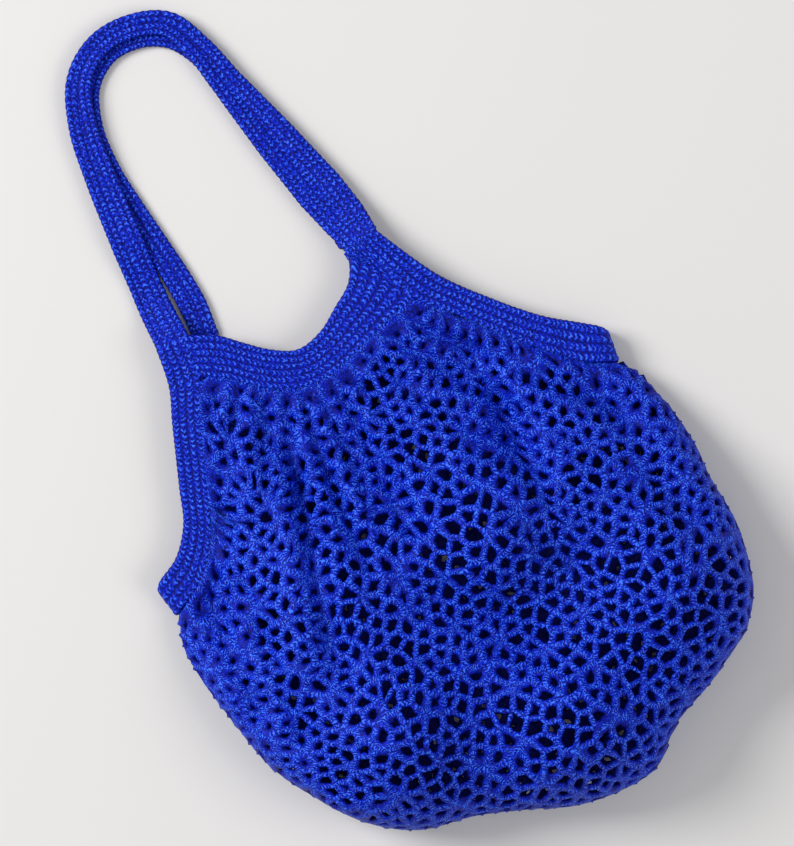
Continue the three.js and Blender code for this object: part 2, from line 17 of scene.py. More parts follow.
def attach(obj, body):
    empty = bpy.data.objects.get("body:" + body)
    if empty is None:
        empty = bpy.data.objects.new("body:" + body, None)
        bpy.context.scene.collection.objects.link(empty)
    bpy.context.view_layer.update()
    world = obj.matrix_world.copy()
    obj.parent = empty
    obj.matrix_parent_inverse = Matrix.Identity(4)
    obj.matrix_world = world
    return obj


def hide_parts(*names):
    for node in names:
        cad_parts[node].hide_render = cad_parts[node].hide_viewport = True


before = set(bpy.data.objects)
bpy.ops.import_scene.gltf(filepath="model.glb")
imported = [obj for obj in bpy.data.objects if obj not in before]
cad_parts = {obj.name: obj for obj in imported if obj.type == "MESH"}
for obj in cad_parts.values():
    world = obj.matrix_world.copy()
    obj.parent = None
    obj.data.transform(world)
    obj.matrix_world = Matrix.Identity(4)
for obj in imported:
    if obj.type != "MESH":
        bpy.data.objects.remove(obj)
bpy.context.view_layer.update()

# %% [markdown]
# ## The camera
# The picture looks straight down at the bag, which lies turned a little on the floor. A long lens from far off
# keeps the high places of the pouch from swelling, as an architect's view does. The image is 794 by 846, so
# the lens is worked out from the height of the picture.

# %% Camera
VIEW_CENTRE = (0.0114, -0.0169)  # the place on the floor in the middle of the picture
VIEW_HEIGHT = 0.4738  # of the picture, at the level of the bag's middle
VIEW_LEVEL = 0.02
VIEW_TURN = -27.7
CAMERA_HEIGHT = 2.8
SENSOR = 24

bpy.ops.object.camera_add(location=(*VIEW_CENTRE, CAMERA_HEIGHT), rotation=(0, 0, math.radians(VIEW_TURN)))
camera = bpy.context.object
camera.data.sensor_fit = "VERTICAL"
camera.data.sensor_height = SENSOR
camera.data.lens = SENSOR * (CAMERA_HEIGHT - VIEW_LEVEL) / VIEW_HEIGHT
camera.data.clip_end = 20
bpy.context.scene.camera = camera
print(f"lens {camera.data.lens:.1f} mm")

# %% [markdown]
# ## Floor and light
# A plain pale floor carries the bag. One broad lamp stands to the upper left, low enough for the thick lace to
# keep its light out of the pouch, so that the holes look dark. A weaker one on the other side and an even sky
# lighten the shadows.

# %% Floor and light
LAMPS = (((-2.0, 2.1, 2.1), 1.8, 120), ((2.1, -1.7, 2.4), 2.2, 38))  # place and size in metres, power in watts
LIT_PLACE = Vector((0.02, -0.05, 0))
FLOOR_DROP = 0.0005  # keeps the floor just clear of the cloth that lies on it

bpy.ops.mesh.primitive_plane_add(size=8, location=(0, 0, -FLOOR_DROP))
floor = bpy.context.object
floor.name = "floor"

for place, size, power in LAMPS:
    bpy.ops.object.light_add(type="AREA", location=place)
    lamp = bpy.context.object
    lamp.data.shape = "DISK"
    lamp.data.size = size
    lamp.data.energy = power
    lamp.rotation_euler = (LIT_PLACE - lamp.location).to_track_quat("-Z", "Y").to_euler()

scene = bpy.context.scene
scene.world = bpy.data.worlds.new("sky")
scene.world.use_nodes = True
sky = scene.world.node_tree.nodes["Background"]
sky.inputs["Color"].default_value = (0.94, 0.97, 1, 1)
sky.inputs["Strength"].default_value = 0.4
scene.view_settings.view_transform = "Standard"
print("floor, two lamps and sky are set")

# %% [markdown]
# ## Sizes and tables
# Cloth that replaces a solid has to lie where the solid does, so this lesson works from the same sizes and
# the same short tables as the solids, in millimetres. Level zero of y is the line of the two side corners.
# One last function moves points from there to the frame, in metres.

# %% Sizes
HALF_WIDTH = 153.0
POUCH_DEPTH = 222.0
YOKE_RISE = 118.0
HANDLE_RISE = 166.0
NECK_BAND_WIDTH = 20.0
SIDE_BAND_WIDTH = 15.0
STRAP_WIDTH = 14.0
BAND_THICKNESS = 3.6
NET_THICKNESS = 3.2
MOUTH_GAP = 9.0
EDGE_HEIGHT = 20.0
BELLY_HEIGHT = 48.0
BULGE_HEIGHT = 29.0
BULGE_RADIUS = 36.0
RIM_RADIUS = 27.0
FOLD_DEPTH = 12.0
SEAM_GAP = 0.3
SEAM_SETTLE = 0.08
BACK_BAND_Z = BAND_THICKNESS / 2
FRONT_BAND_Z = BACK_BAND_Z + BAND_THICKNESS + MOUTH_GAP
FOLD_Z = (BACK_BAND_Z + FRONT_BAND_Z) / 2
FOLD_RADIUS = (FRONT_BAND_Z - BACK_BAND_Z) / 2
BACK_NET_Z = NET_THICKNESS / 2
BAG_PLACE = np.array([-3.522, -35.802, 0.0])  # where level zero of x and y lies in the frame
HALF_CELLS = {"left": 6, "neck": 8, "right": 6, "down": 12}  # of the solids' coarse net, along each edge
FINE = 8  # points of an edge chain for each half cell


def table(columns, rows):
    """A table as one array for each named column."""
    return dict(zip(columns.split(), np.array(rows, float).T))


def to_frame(points):
    """Points of this lesson in the frame, in metres."""
    return (np.asarray(points) + BAG_PLACE) * 0.001


print(f"front bands at {FRONT_BAND_Z} mm, fold at {FOLD_Z} mm")

# %% Yoke tables
# x: share of half the width; y: share of the yoke's rise; lean: degrees; wide: share of the band's width.
LEFT_FRONT_BAND = table("x y lean wide", [
    (-0.555, 1.0, 0, 1.03), (-0.578, 0.814, -6, 1.15), (-0.626, 0.664, -20, 1), (-0.733, 0.314, -22, 1),
    (-0.782, 0.167, -35, 1), (-0.86, 0.065, -60, 1.15), (-0.962, 0, -81, 1.25),
])
LEFT_BACK_BAND = table("x y lean wide", [
    (-0.422, 0.964, 0, 0.55), (-0.458, 0.797, -10, 1), (-0.503, 0.644, -20, 1), (-0.608, 0.322, -24, 1),
    (-0.686, 0.136, -38, 1), (-0.784, 0.025, -62, 1.1), (-0.962, 0, -81, 1.25),
])
RIGHT_FRONT_BAND = table("x y lean wide", [
    (0.36, 1.003, 0, 0.65), (0.471, 0.712, 200, 1.15), (0.523, 0.614, 213, 1), (0.608, 0.482, 220, 1),
    (0.724, 0.318, 225, 1.1), (0.824, 0.207, 235, 1.25), (0.882, 0.161, 250, 1.45), (0.936, 0.1, 262, 1.28),
])
RIGHT_BACK_BAND = table("x y lean wide", [
    (0.34, 0.987, 0, 0.6), (0.431, 0.729, 200, 1.1), (0.497, 0.602, 214, 1), (0.585, 0.466, 221, 1),
    (0.699, 0.301, 226, 1), (0.804, 0.182, 238, 1.15), (0.869, 0.14, 252, 1.35), (0.936, 0.1, 262, 1.28),
])
FRONT_NECK = table("x y lean wide", [
    (-0.431, 1.0, 0, 0), (-0.379, 0.958, -100, 1.2), (-0.326, 0.91, -103, 1.2), (-0.222, 0.78, -112, 1.08),
    (-0.125, 0.692, -103, 1.02), (-0.082, 0.685, -90, 1.02), (0.02, 0.717, -76, 1.08),
    (0.104, 0.788, -62, 1.3), (0.194, 0.871, -55, 1.65), (0.232, 0.966, 0, 0),
])
BACK_NECK = table("x y lean wide", [
    (-0.33, 0.964, 0, 0), (-0.32, 0.92, -98, 1.15), (-0.307, 0.89, -101, 1.1), (-0.222, 0.75, -112, 1.05),
    (-0.131, 0.665, -103, 1), (-0.078, 0.657, -90, 1), (0.02, 0.686, -76, 1.05), (0.095, 0.754, -62, 1.2),
    (0.183, 0.847, -55, 1.45), (0.222, 0.958, 0, 0),
])
print("yoke tables:", len(LEFT_FRONT_BAND["x"]), "to", len(FRONT_NECK["x"]), "rows each")

# %% Handle tables
# rise: share of the handle's rise; over: 0 on the floor, 1 on the other handle; groove: share of thickness.
FRONT_HANDLE = table("x rise wide over groove", [
    (-0.494, 0.12, 1.26, 0.6, 0), (-0.487, 0.22, 1.2, 0.25, 0.1), (-0.474, 0.36, 1.24, 1.1, 0.2),
    (-0.449, 0.608, 1.16, 1, 0.2), (-0.419, 0.789, 1.05, 1, 0.2), (-0.349, 0.936, 0.92, 1, 0.2),
    (-0.225, 1.01, 0.88, 1, 0.2), (-0.08, 1.011, 0.88, 1, 0.2), (0.034, 0.96, 0.94, 1, 0.2),
    (0.091, 0.843, 1.02, 1, 0.3), (0.127, 0.693, 1.2, 1, 0.4), (0.188, 0.446, 1.66, 1, 0.45),
    (0.2435, 0.227, 1.88, 1.2, 0.35), (0.275, 0.1, 1.75, 1.7, 0.15),
])
BACK_HANDLE = table("x rise wide over groove", [
    (-0.367, 0.08, 1.04, 0, 0), (-0.371, 0.187, 1, 0, 0.1), (-0.382, 0.301, 0.95, 0, 0.1),
    (-0.4, 0.458, 0.93, 0, 0.1), (-0.412, 0.608, 0.9, 0, 0.1), (-0.396, 0.771, 0.89, 0, 0.1),
    (-0.331, 0.904, 0.86, 0, 0.1), (-0.213, 0.975, 0.86, 0, 0.1), (-0.08, 0.972, 0.86, 0, 0.1),
    (0.02, 0.922, 0.86, 0, 0.1), (0.085, 0.83, 0.9, 0, 0.1), (0.124, 0.693, 1, 0, 0.1),
    (0.183, 0.446, 1.15, 0, 0.1), (0.235, 0.227, 1.25, 0, 0.1),
])
print("handle tables:", len(FRONT_HANDLE["x"]), "and", len(BACK_HANDLE["x"]), "rows")

# %% Pouch tables
# x: share of half the width; drop: share of the pouch's depth; high and deep: shares of the bulge's height and
# of the fold's depth; half: half a crease's width, as a share of half the bag's width.
LEFT_SIDE = table("x drop", [
    (-0.972, 0.18), (-0.966, 0.253), (-0.94, 0.364), (-0.897, 0.514), (-0.858, 0.579), (-0.76, 0.688),
])
RIGHT_SIDE = table("x drop", [
    (0.95, 0.068), (0.996, 0.176), (1.019, 0.301), (1.012, 0.404), (1.02, 0.522), (1.008, 0.59),
    (0.96, 0.703), (0.873, 0.781),
])
BOTTOM = table("x drop", [
    (-0.76, 0.688), (-0.682, 0.76), (-0.585, 0.817), (-0.494, 0.85), (-0.313, 0.878), (-0.119, 0.929),
    (0.019, 0.97), (0.173, 0.99), (0.349, 0.982), (0.486, 0.908), (0.667, 0.856), (0.873, 0.781),
])
BULGES = table("x drop high", [
    (0.208, 0.269, 0.95), (0.678, 0.609, 1), (-0.412, 0.61, 1), (0.163, 0.788, 0.95), (-0.45, 0.231, 0.35),
])
CREASES = table("x1 drop1 x2 drop2 deep half", [
    (-0.27, -0.25, -0.49, 0.4, 0.5, 0.07), (0.36, -0.24, 0.44, 0.1, 1, 0.11),
    (0.81, 0.05, 0.88, 0.48, 0.7, 0.07), (-0.05, 0.35, 0.16, 0.58, 0.7, 0.08),
    (-0.064, -0.209, -0.042, 0.169, 0.8, 0.05), (0.459, -0.191, 0.481, 0.187, 0.7, 0.045),
    (-0.79, 0.04, -0.835, 0.395, 0.9, 0.06), (0.24, 0.12, 0.42, 0.42, 0.5, 0.05),
    (-0.275, -0.285, -0.331, -0.05, 0.45, 0.035), (-0.331, -0.05, -0.489, 0.32, 0.4, 0.04),
    (0.436, 0.03, 0.446, 0.26, 0.5, 0.05), (-0.2, -0.2, -0.23, 0.2, 0.45, 0.03),
    (-0.7, 0.1, -0.72, 0.5, 0.6, 0.045), (-0.62, -0.1, -0.68, 0.25, 0.4, 0.035),
])
GATHER_CENTRE = np.array([-12.0, 135.0])  # the small gathers under the neck band run out from here
GATHER_WAVES = 44  # in a full circle
GATHER_DEPTH = 2.1
print("creases:", len(CREASES["deep"]))

# %% [markdown]
# ## Curves
# Every edge of the bag is a smooth curve through the points of a table. A centripetal Catmull-Rom curve does
# that without loops or overshoot, and points at equal lengths along it keep the stitches even.

# %% Curve helpers
def mix(a, b, share):
    return a + (b - a) * share


def ease(start, end, value):
    """A soft step from 0 at the start to 1 at the end."""
    share = np.clip((np.asarray(value, float) - start) / (end - start), 0, 1)
    return share * share * (3 - 2 * share)


def catmull(points, per_link):
    """Points of a centripetal Catmull-Rom curve, per_link for each link of the given points."""
    points = np.asarray(points, float)
    whole = np.vstack([2 * points[0] - points[1], points, 2 * points[-1] - points[-2]])
    shares = np.linspace(0, 1, per_link, endpoint=False)[:, None]
    found = []
    for p0, p1, p2, p3 in zip(whole, whole[1:], whole[2:], whole[3:]):
        d0, d1, d2 = (max(np.linalg.norm(b - a), 1e-6) ** 0.5 for a, b in ((p0, p1), (p1, p2), (p2, p3)))
        t1 = ((p1 - p0) / d0 - (p2 - p0) / (d0 + d1) + (p2 - p1) / d1) * d1
        t2 = ((p2 - p1) / d1 - (p3 - p1) / (d1 + d2) + (p3 - p2) / d2) * d1
        curve = p1 + t1 * shares + (3 * (p2 - p1) - 2 * t1 - t2) * shares**2
        found.append(curve + (2 * (p1 - p2) + t1 + t2) * shares**3)
    return np.vstack([*found, points[-1]])


def lengths_along(points):
    """The length of a chain of points up to each of them."""
    steps = np.linalg.norm(np.diff(points, axis=0), axis=1)
    return np.concatenate([[0], np.cumsum(steps)])


def smooth(points, steps):
    """Points at equal lengths along the smooth curve through the given points."""
    fine = catmull(points, 40)
    length = lengths_along(fine)
    wanted = np.linspace(0, length[-1], steps + 1)
    return np.column_stack([np.interp(wanted, length, fine[:, k]) for k in range(fine.shape[1])])


def along(chain, share):
    """Points at shares of a chain whose links count alike."""
    spot = np.clip(share, 0, 1) * (len(chain) - 1)
    index = np.minimum(spot.astype(int), len(chain) - 2)
    return mix(chain[index], chain[index + 1], (spot - index)[:, None])


def on_yoke(rows):
    return np.column_stack([rows["x"] * HALF_WIDTH, rows["y"] * YOKE_RISE])


def on_pouch(x, drop):
    return np.column_stack([np.atleast_1d(x) * HALF_WIDTH, np.atleast_1d(-drop) * POUCH_DEPTH])


def leant(points, lean, length):
    """Points moved by a length in the direction that they lean."""
    angle = np.radians(lean)
    return points + np.column_stack([np.cos(angle), np.sin(angle)]) * np.asarray(length)[:, None]


print("curve helpers are ready")

# %% [markdown]
# ## Edges of the yoke
# A side band runs from a handle's foot down to the side corner, and a neck band runs along the neckline. Each
# has an outer and an inner edge. The inner edges, joined end to end, are the seam that the lace hangs from.
# Three more chains, down the left, along the bottom and down the right, close the pouch's outline.

# %% Band edges
def side_band_edges(rows, neck_end, half_cells):
    outer = on_yoke(rows)
    way = neck_end - outer[0]
    foot_inner = outer[0] + way / np.linalg.norm(way) * rows["wide"][0] * SIDE_BAND_WIDTH
    inner = leant(outer, rows["lean"], rows["wide"] * SIDE_BAND_WIDTH)[1:]
    steps = half_cells * FINE
    return {
        "foot": (outer[0], foot_inner),
        "outer": smooth(outer[1:], steps),
        "inner": smooth(inner, steps),
    }


def neck_band_edges(rows, left, right):
    neckline = on_yoke(rows)
    lower = leant(neckline, rows["lean"], rows["wide"] * NECK_BAND_WIDTH)[1:-1]
    steps = HALF_CELLS["neck"] * FINE
    return {
        "outer": smooth(neckline, steps),
        "inner": smooth(np.vstack([left["inner"][0], lower, right["inner"][0]]), steps),
    }


front_left = side_band_edges(LEFT_FRONT_BAND, on_yoke(FRONT_NECK)[0], HALF_CELLS["left"])
front_right = side_band_edges(RIGHT_FRONT_BAND, on_yoke(FRONT_NECK)[-1], HALF_CELLS["right"])
back_left = side_band_edges(LEFT_BACK_BAND, on_yoke(BACK_NECK)[0], HALF_CELLS["left"])
back_right = side_band_edges(RIGHT_BACK_BAND, on_yoke(BACK_NECK)[-1], HALF_CELLS["right"])
front_neck = neck_band_edges(FRONT_NECK, front_left, front_right)
back_neck = neck_band_edges(BACK_NECK, back_left, back_right)
print("neckline length", round(lengths_along(front_neck["outer"])[-1], 1), "mm")

# %% Chains round the pouch
def seam(left, neck, right):
    """The seam from the left side corner to the right one; at the corners the net stands on its edge."""
    chain = np.vstack([left["inner"][::-1], neck["inner"][1:], right["inner"][1:]])
    from_end = np.minimum(np.arange(len(chain)), np.arange(len(chain))[::-1])
    chain[:, 1] -= np.clip(1 - from_end / FINE, 0, 1) * NET_THICKNESS / 2
    return chain


front_seam = seam(front_left, front_neck, front_right)
back_seam = seam(back_left, back_neck, back_right)
down_steps = HALF_CELLS["down"] * FINE
bottom_chain = smooth(on_pouch(BOTTOM["x"], BOTTOM["drop"]), len(front_seam) - 1)
left_chain = smooth(np.vstack([front_seam[0], on_pouch(LEFT_SIDE["x"], LEFT_SIDE["drop"])]), down_steps)
right_chain = smooth(np.vstack([front_seam[-1], on_pouch(RIGHT_SIDE["x"], RIGHT_SIDE["drop"])]), down_steps)
print("seam and bottom edge:", *(round(lengths_along(chain)[-1]) for chain in (front_seam, bottom_chain)), "mm")

# %% [markdown]
# ## The nets' surfaces
# The front net stands over what fills the bag: it has full places and long creases, and its rims turn down to
# the pouch's edge. The back net lies flat and turns up to the same edge. A place on a net is a share across
# and a share down. These functions give its point in space and the way the cloth faces there.

# %% Surface functions
def plan_point(top, across, down):
    """The place in plan between the seam, the bottom and the two sides."""
    a, d = across[:, None], down[:, None]
    found = along(top, across) * (1 - d) + along(bottom_chain, across) * d
    found += along(left_chain, down) * (1 - a) + along(right_chain, down) * a
    found -= top[0] * (1 - a) * (1 - d) + top[-1] * a * (1 - d)
    return found - bottom_chain[0] * (1 - a) * d - bottom_chain[-1] * a * d


def over_rim(share, radius, span):
    """How far in a sheet lies that turns over a round rim, as a share of the span, and how far it has risen."""
    arc = radius * math.pi / 2
    travelled = share * (span - radius + arc)
    turn = np.minimum(travelled / radius, math.pi / 2)
    inset = np.where(travelled >= arc, travelled - arc + radius, radius * (1 - np.cos(turn))) / span
    return inset, np.sin(turn)


def distance_to_line(points, start, end):
    way = end - start
    share = np.clip((points - start) @ way / (way @ way), 0, 1)
    return np.linalg.norm(points - start - share[:, None] * way, axis=1)


def gathers(points, down):
    """The small folds that run down from the neck band and die out over the belly."""
    way = points - GATHER_CENTRE
    angle = np.arctan2(way[:, 0], -way[:, 1])
    wave = np.sin(GATHER_WAVES * angle + 1.6 * np.sin(7 * angle + 0.6))
    return GATHER_DEPTH * wave * ease(0, 0.06, down) * (1 - ease(0.2, 0.6, down))


def crown_height(points, down):
    height = mix(FRONT_BAND_Z, BELLY_HEIGHT, ease(0, 0.5, down)) + gathers(points, down)
    for x, drop, high in zip(*BULGES.values()):
        away = np.linalg.norm(points - on_pouch(x, drop), axis=1) / BULGE_RADIUS
        height = height + high * BULGE_HEIGHT * np.exp(-away * away) * ease(0, 0.25, down)
    for x1, drop1, x2, drop2, deep, half in zip(*CREASES.values()):
        away = distance_to_line(points, on_pouch(x1, drop1)[0], on_pouch(x2, drop2)[0]) / (half * HALF_WIDTH)
        height = height - deep * FOLD_DEPTH * np.exp(-away * away) * ease(0, 0.2, down)
    return height


def net_surface(top, side, height_of):
    """A function that gives the points of a net at shares across and down."""

    def place(across_share, down_share):
        across_share, down_share = np.clip(across_share, 0, 1), np.clip(down_share, 0, 1)
        radius = mix(FOLD_RADIUS, RIM_RADIUS, ease(0, 0.35, down_share))
        inset, lift = over_rim(2 * np.minimum(across_share, 1 - across_share), radius, HALF_WIDTH)
        rimmed = np.where(across_share < 0.5, inset / 2, 1 - inset / 2)
        across = mix(across_share, rimmed, ease(0, SEAM_SETTLE, down_share))
        bottom_inset, bottom_lift = over_rim(1 - down_share, RIM_RADIUS, POUCH_DEPTH)
        plan = plan_point(top, across, 1 - bottom_inset)
        parted = side * mix(NET_THICKNESS / 2, SEAM_GAP / 2, ease(0, 2 * SEAM_SETTLE, down_share))
        edge = mix(FOLD_Z, EDGE_HEIGHT, ease(0, 0.45, down_share)) + parted
        height = mix(edge, height_of(plan, down_share), np.minimum(lift, bottom_lift))
        return np.column_stack([plan, height])

    return place


def facing(surface, across, down, nudge=2e-3):
    """The unit normals of a surface, felt just inside its edges."""
    a, d = (np.clip(x, 2 * nudge, 1 - 2 * nudge) for x in (across, down))
    along_row = surface(a + nudge, d) - surface(a - nudge, d)
    along_column = surface(a, d + nudge) - surface(a, d - nudge)
    normal = np.cross(along_column, along_row)
    return normal / np.linalg.norm(normal, axis=1)[:, None]


front_surface = net_surface(front_seam, 1, crown_height)
back_surface = net_surface(back_seam, -1, lambda plan, down: np.full(len(plan), BACK_NET_Z))
probe = front_surface(np.array([0.5]), np.array([0.6]))[0]
print("the front net's middle stands", round(probe[2], 1), "mm above the floor")

# %% [markdown]
# ## The pattern of the lace
# The lace is worked in small rosettes: six leaf-shaped holes round a solid knot, their tips swirling to it,
# with squarer holes between the rosettes. I first scatter the middles of the holes in plan, then let a
# Delaunay triangulation find the places where strands meet: each of its triangles gives one knot. So each
# hole has a cell, and neighbouring cells share their edge, which is the middle line of a strand.

# %% Hole middles
ROSETTE_PITCH = 25.6
PETALS = 6
PETAL_DISTANCE = 8.9
LATTICE_RANGE = range(-12, 12)
LATTICE_START = np.array([0, -60])
BORDER = 4.2  # the nearest that a hole's middle comes to the net's edge
HOLE_DISTANCE = 5.9  # the nearest that it comes to another's


def inside(points, outline):
    """Which points lie inside a closed outline."""
    x, y = points[:, :1], points[:, 1:]
    x1, y1 = outline.T
    x2, y2 = np.roll(outline, -1, axis=0).T
    meets = (x2 - x1) * (y - y1) / np.where(y2 == y1, 1e-9, y2 - y1) + x1
    return (((y1 > y) != (y2 > y)) & (x < meets)).sum(axis=1) % 2 == 1


def rosette_holes(random):
    """Hole middles on a wide lattice, with the direction of each hole's tip and its kind: 1 leaf, 0 kite."""
    found = []
    row_height = ROSETTE_PITCH * math.sqrt(3) / 2
    for row in LATTICE_RANGE:
        for column in LATTICE_RANGE:
            centre = np.array([(column + 0.5 * (row % 2)) * ROSETTE_PITCH, row * row_height])
            centre += random.normal(0, 1.0, 2)
            turn = random.uniform(0, math.pi / 3)
            swirl = random.choice([-0.5, 0.5])
            for petal in range(PETALS):
                angle = petal * math.pi / 3 + 0.25 * turn
                middle = centre + PETAL_DISTANCE * np.array([math.cos(angle), math.sin(angle)])
                found.append((*middle, angle + math.pi + swirl, 1.0))
            for third in (0, 1):
                angle = math.pi / 6 + third * math.pi / 3
                middle = centre + ROSETTE_PITCH / math.sqrt(3) * np.array([math.cos(angle), math.sin(angle)])
                found.append((*middle, random.uniform(0, 2 * math.pi), 0.0))
    holes = np.array(found)
    holes[:, :2] += random.normal(0, 0.55, (len(holes), 2))
    return holes


def pulled(points, neck):
    """The lattice as the pull of the filled bag leaves it: gathered towards the neck, wavy elsewhere."""
    x, y = points.T
    near = np.exp(-(np.maximum(neck[1] - y, 0) / 60) ** 2)
    waves = np.column_stack([np.sin(y / 31 + 1.3) + 0.6 * np.sin(x / 23), np.sin(x / 37) + 0.6 * np.cos(y / 19)])
    moved = points + 3.0 * waves
    moved[:, 0] -= 0.22 * (x - neck[0]) * near
    return moved


def kept_holes(outline, seed, turn, neck):
    """The holes of a turned and pulled lattice that lie well inside an outline and clear of each other."""
    random = np.random.default_rng(seed)
    holes = rosette_holes(random)
    angle = math.radians(turn)
    wheel = np.array([[math.cos(angle), math.sin(angle)], [-math.sin(angle), math.cos(angle)]])
    holes[:, :2] = pulled(holes[:, :2] @ wheel + LATTICE_START, neck)
    holes[:, 2] += angle
    away = np.linalg.norm(holes[:, None, :2] - outline[None], axis=2).min(axis=1)
    holes = holes[inside(holes[:, :2], outline) & (away > BORDER)]
    chosen = []
    for hole in holes:
        if all((hole[0] - c[0]) ** 2 + (hole[1] - c[1]) ** 2 > HOLE_DISTANCE**2 for c in chosen):
            chosen.append(hole)
    return np.array(chosen)


def outline_of(top):
    return np.vstack([top, right_chain[1:], bottom_chain[::-1][1:], left_chain[::-1][1:-1]])


front_outline, back_outline = outline_of(front_seam), outline_of(back_seam)
NECK_MIDDLE = (-12.0, 60.0)
front_holes = kept_holes(front_outline, 3, 14, NECK_MIDDLE)
back_holes = kept_holes(back_outline, 5, -9, NECK_MIDDLE)
print(len(front_holes), "holes in the front net,", len(back_holes), "in the back net")

# %% [markdown]
# ## From holes to knots
# Near an edge, each hole gets a mirror image outside the net. The triangulation then puts the cells' outer
# edges on the net's own edge, and the images are dropped. A knot lies as far from its three holes as they
# let it, so strands are even there.

# %% Cells
GHOST_REACH = 13  # from the edge, within which a hole has a mirror image
KNOT_REACH = 6.5  # the farthest that a knot lies from the middle of its three holes


def mirrored(points, outline, reach):
    """Mirror images of the points near a closed outline, on its other side."""
    gaps = points[:, None] - outline[None]
    nearest = np.linalg.norm(gaps, axis=2).argmin(axis=1)
    ahead = outline[(nearest + 1) % len(outline)] - outline[nearest - 1]
    ahead /= np.linalg.norm(ahead, axis=1)[:, None]
    off = points - outline[nearest]
    square = off - (off * ahead).sum(axis=1)[:, None] * ahead
    near = np.linalg.norm(square, axis=1) < reach
    return (points - 2 * square)[near]


def circumcentre(a, b, c):
    """The point as far from a as from b and c, or the middle of the three where that lies far off."""
    ab, ac = b - a, c - a
    cross = 2 * (ab[0] * ac[1] - ab[1] * ac[0])
    middle = (a + b + c) / 3
    if abs(cross) < 1e-6:
        return middle
    over, under = ab @ ab, ac @ ac
    found = a + np.array([ac[1] * over - ab[1] * under, ab[0] * under - ac[0] * over]) / cross
    return found if np.linalg.norm(found - middle) < KNOT_REACH else middle


def cells_of(holes, outline):
    """Knots, and for each hole the ring of knots round it."""
    middles = holes[:, :2]
    points = np.vstack([middles, mirrored(middles, outline, GHOST_REACH)])
    result = delaunay_2d_cdt([Vector(p) for p in points], [], [], 0, 1e-7)
    corners, origins = result[2], result[3]
    knots, rings = [], [[] for _ in middles]
    for triangle in corners:
        ids = [origins[k][0] for k in triangle]
        if min(ids) >= len(middles):
            continue
        for k in ids:
            if k < len(middles):
                rings[k].append(len(knots))
        knots.append(circumcentre(*(points[k] for k in ids)))
    knots = np.array(knots)
    ordered = []
    for middle, ring in zip(middles, rings):
        way = knots[ring] - middle
        ordered.append([ring[k] for k in np.argsort(np.arctan2(way[:, 1], way[:, 0]))])
    return knots, ordered


front_knots, front_rings = cells_of(front_holes, front_outline)
back_knots, back_rings = cells_of(back_holes, back_outline)
to_a_cell = np.mean([len(ring) for ring in front_rings])
print(len(front_knots), "knots on the front, with", round(to_a_cell, 1), "to a cell")

# %% [markdown]
# ## From cells to strands
# A strand is what a hole leaves of its cell. Along each ray from the hole's middle to its cell's edge, the
# hole reaches as far as its own form wants to, or as far as the strand's half width lets it, whichever is
# less. Strands are slimmer next to a knot, so the holes point at the knots. The cloth is thickest on the
# strand's middle line and thins to nothing at the hole, like a cord.

# %% Hole forms
STRAND_HALF = 1.75
LEAF_SIZE, KITE_SIZE = 4.8, 4.5
SPOT_STEP = 2.1  # between the points of a cell's edge


def wanted_reach(angles, tip, kind, size):
    """How far a free hole of a kind reaches from its middle in each direction."""
    turn = np.abs((angles - tip + math.pi) % (2 * math.pi) - math.pi)
    leaf = size * (0.66 + 0.66 * np.exp(-((turn / 0.55) ** 2)) + 0.3 * np.exp(-(((math.pi - turn) / 0.6) ** 2)))
    kite = size * (0.88 + 0.26 * np.cos(4 * turn) + 0.12 * np.cos(turn))
    return kind * leaf + (1 - kind) * kite


def edge_distance(points, ring):
    """The distance of each point from a closed ring of straight edges."""
    start, way = ring, np.roll(ring, -1, axis=0) - ring
    gap = points[:, None] - start[None]
    share = np.clip((gap * way).sum(axis=2) / np.maximum((way * way).sum(axis=1), 1e-9), 0, 1)
    return np.linalg.norm(gap - share[..., None] * way, axis=2).min(axis=1)


def hole_reach(middle, loop, ring, at_knot, tip, kind, size, half, random):
    """How far a hole reaches along each ray to the points of its cell's loop."""
    way = loop - middle
    far = np.linalg.norm(way, axis=1)
    angles = np.arctan2(way[:, 1], way[:, 0])
    turn = np.abs((angles - tip + math.pi) % (2 * math.pi) - math.pi)
    narrow = half * (1.1 - 0.4 * at_knot) * (1 - 0.3 * kind * np.exp(-((turn / 0.4) ** 2)))
    low, high = np.zeros(len(loop)), far.copy()
    for _ in range(9):
        half_way = (low + high) / 2
        free = edge_distance(middle + way * (half_way / far)[:, None], ring) > narrow
        low, high = np.where(free, half_way, low), np.where(free, high, half_way)
    wanted = wanted_reach(angles, tip, kind, size)
    reach = (np.maximum(low, 0.3) ** -6 + wanted**-6) ** (-1 / 6)
    return np.minimum(reach * (1 + random.normal(0, 0.07, len(loop))), 0.9 * far) / far


print("a leaf-shaped hole reaches", wanted_reach(np.array([0.0]), 0, 1, 4.4)[0].round(2), "mm to its tip")

# %% [markdown]
# ## How open the lace is
# The lace is most open over the full places. It closes up in the creases, where it is bunched, and towards
# the bands and the rim. A slow wave makes some patches denser than others, as in all handwork.

# %% Openness
# How far the lace has closed at an edge, and the distances in mm between which it opens.
NEAR_NECK, NEAR_SIDES, NEAR_RIM, TOWARDS_RIM = (0.12, 6, 22), (0.35, 3, 13), (0.3, 3, 16), (0.58, 4, 44)
TOWARDS_LEFT = (0.78, -130, -20)
PATCHES = (0.62, 1.2)  # the openness of the densest and the loosest patches
FULL_REACH = 1.2  # of a full place's radius
FOLDED_SHARE = 0.46  # by which the deepest crease closes the lace
FRONT_OPEN = {"base": 0.78, "swell": 0.36}
BACK_OPEN = {"base": 0.36, "swell": 0}


def opening(distance, least, start, end):
    return mix(least, 1, ease(start, end, distance))


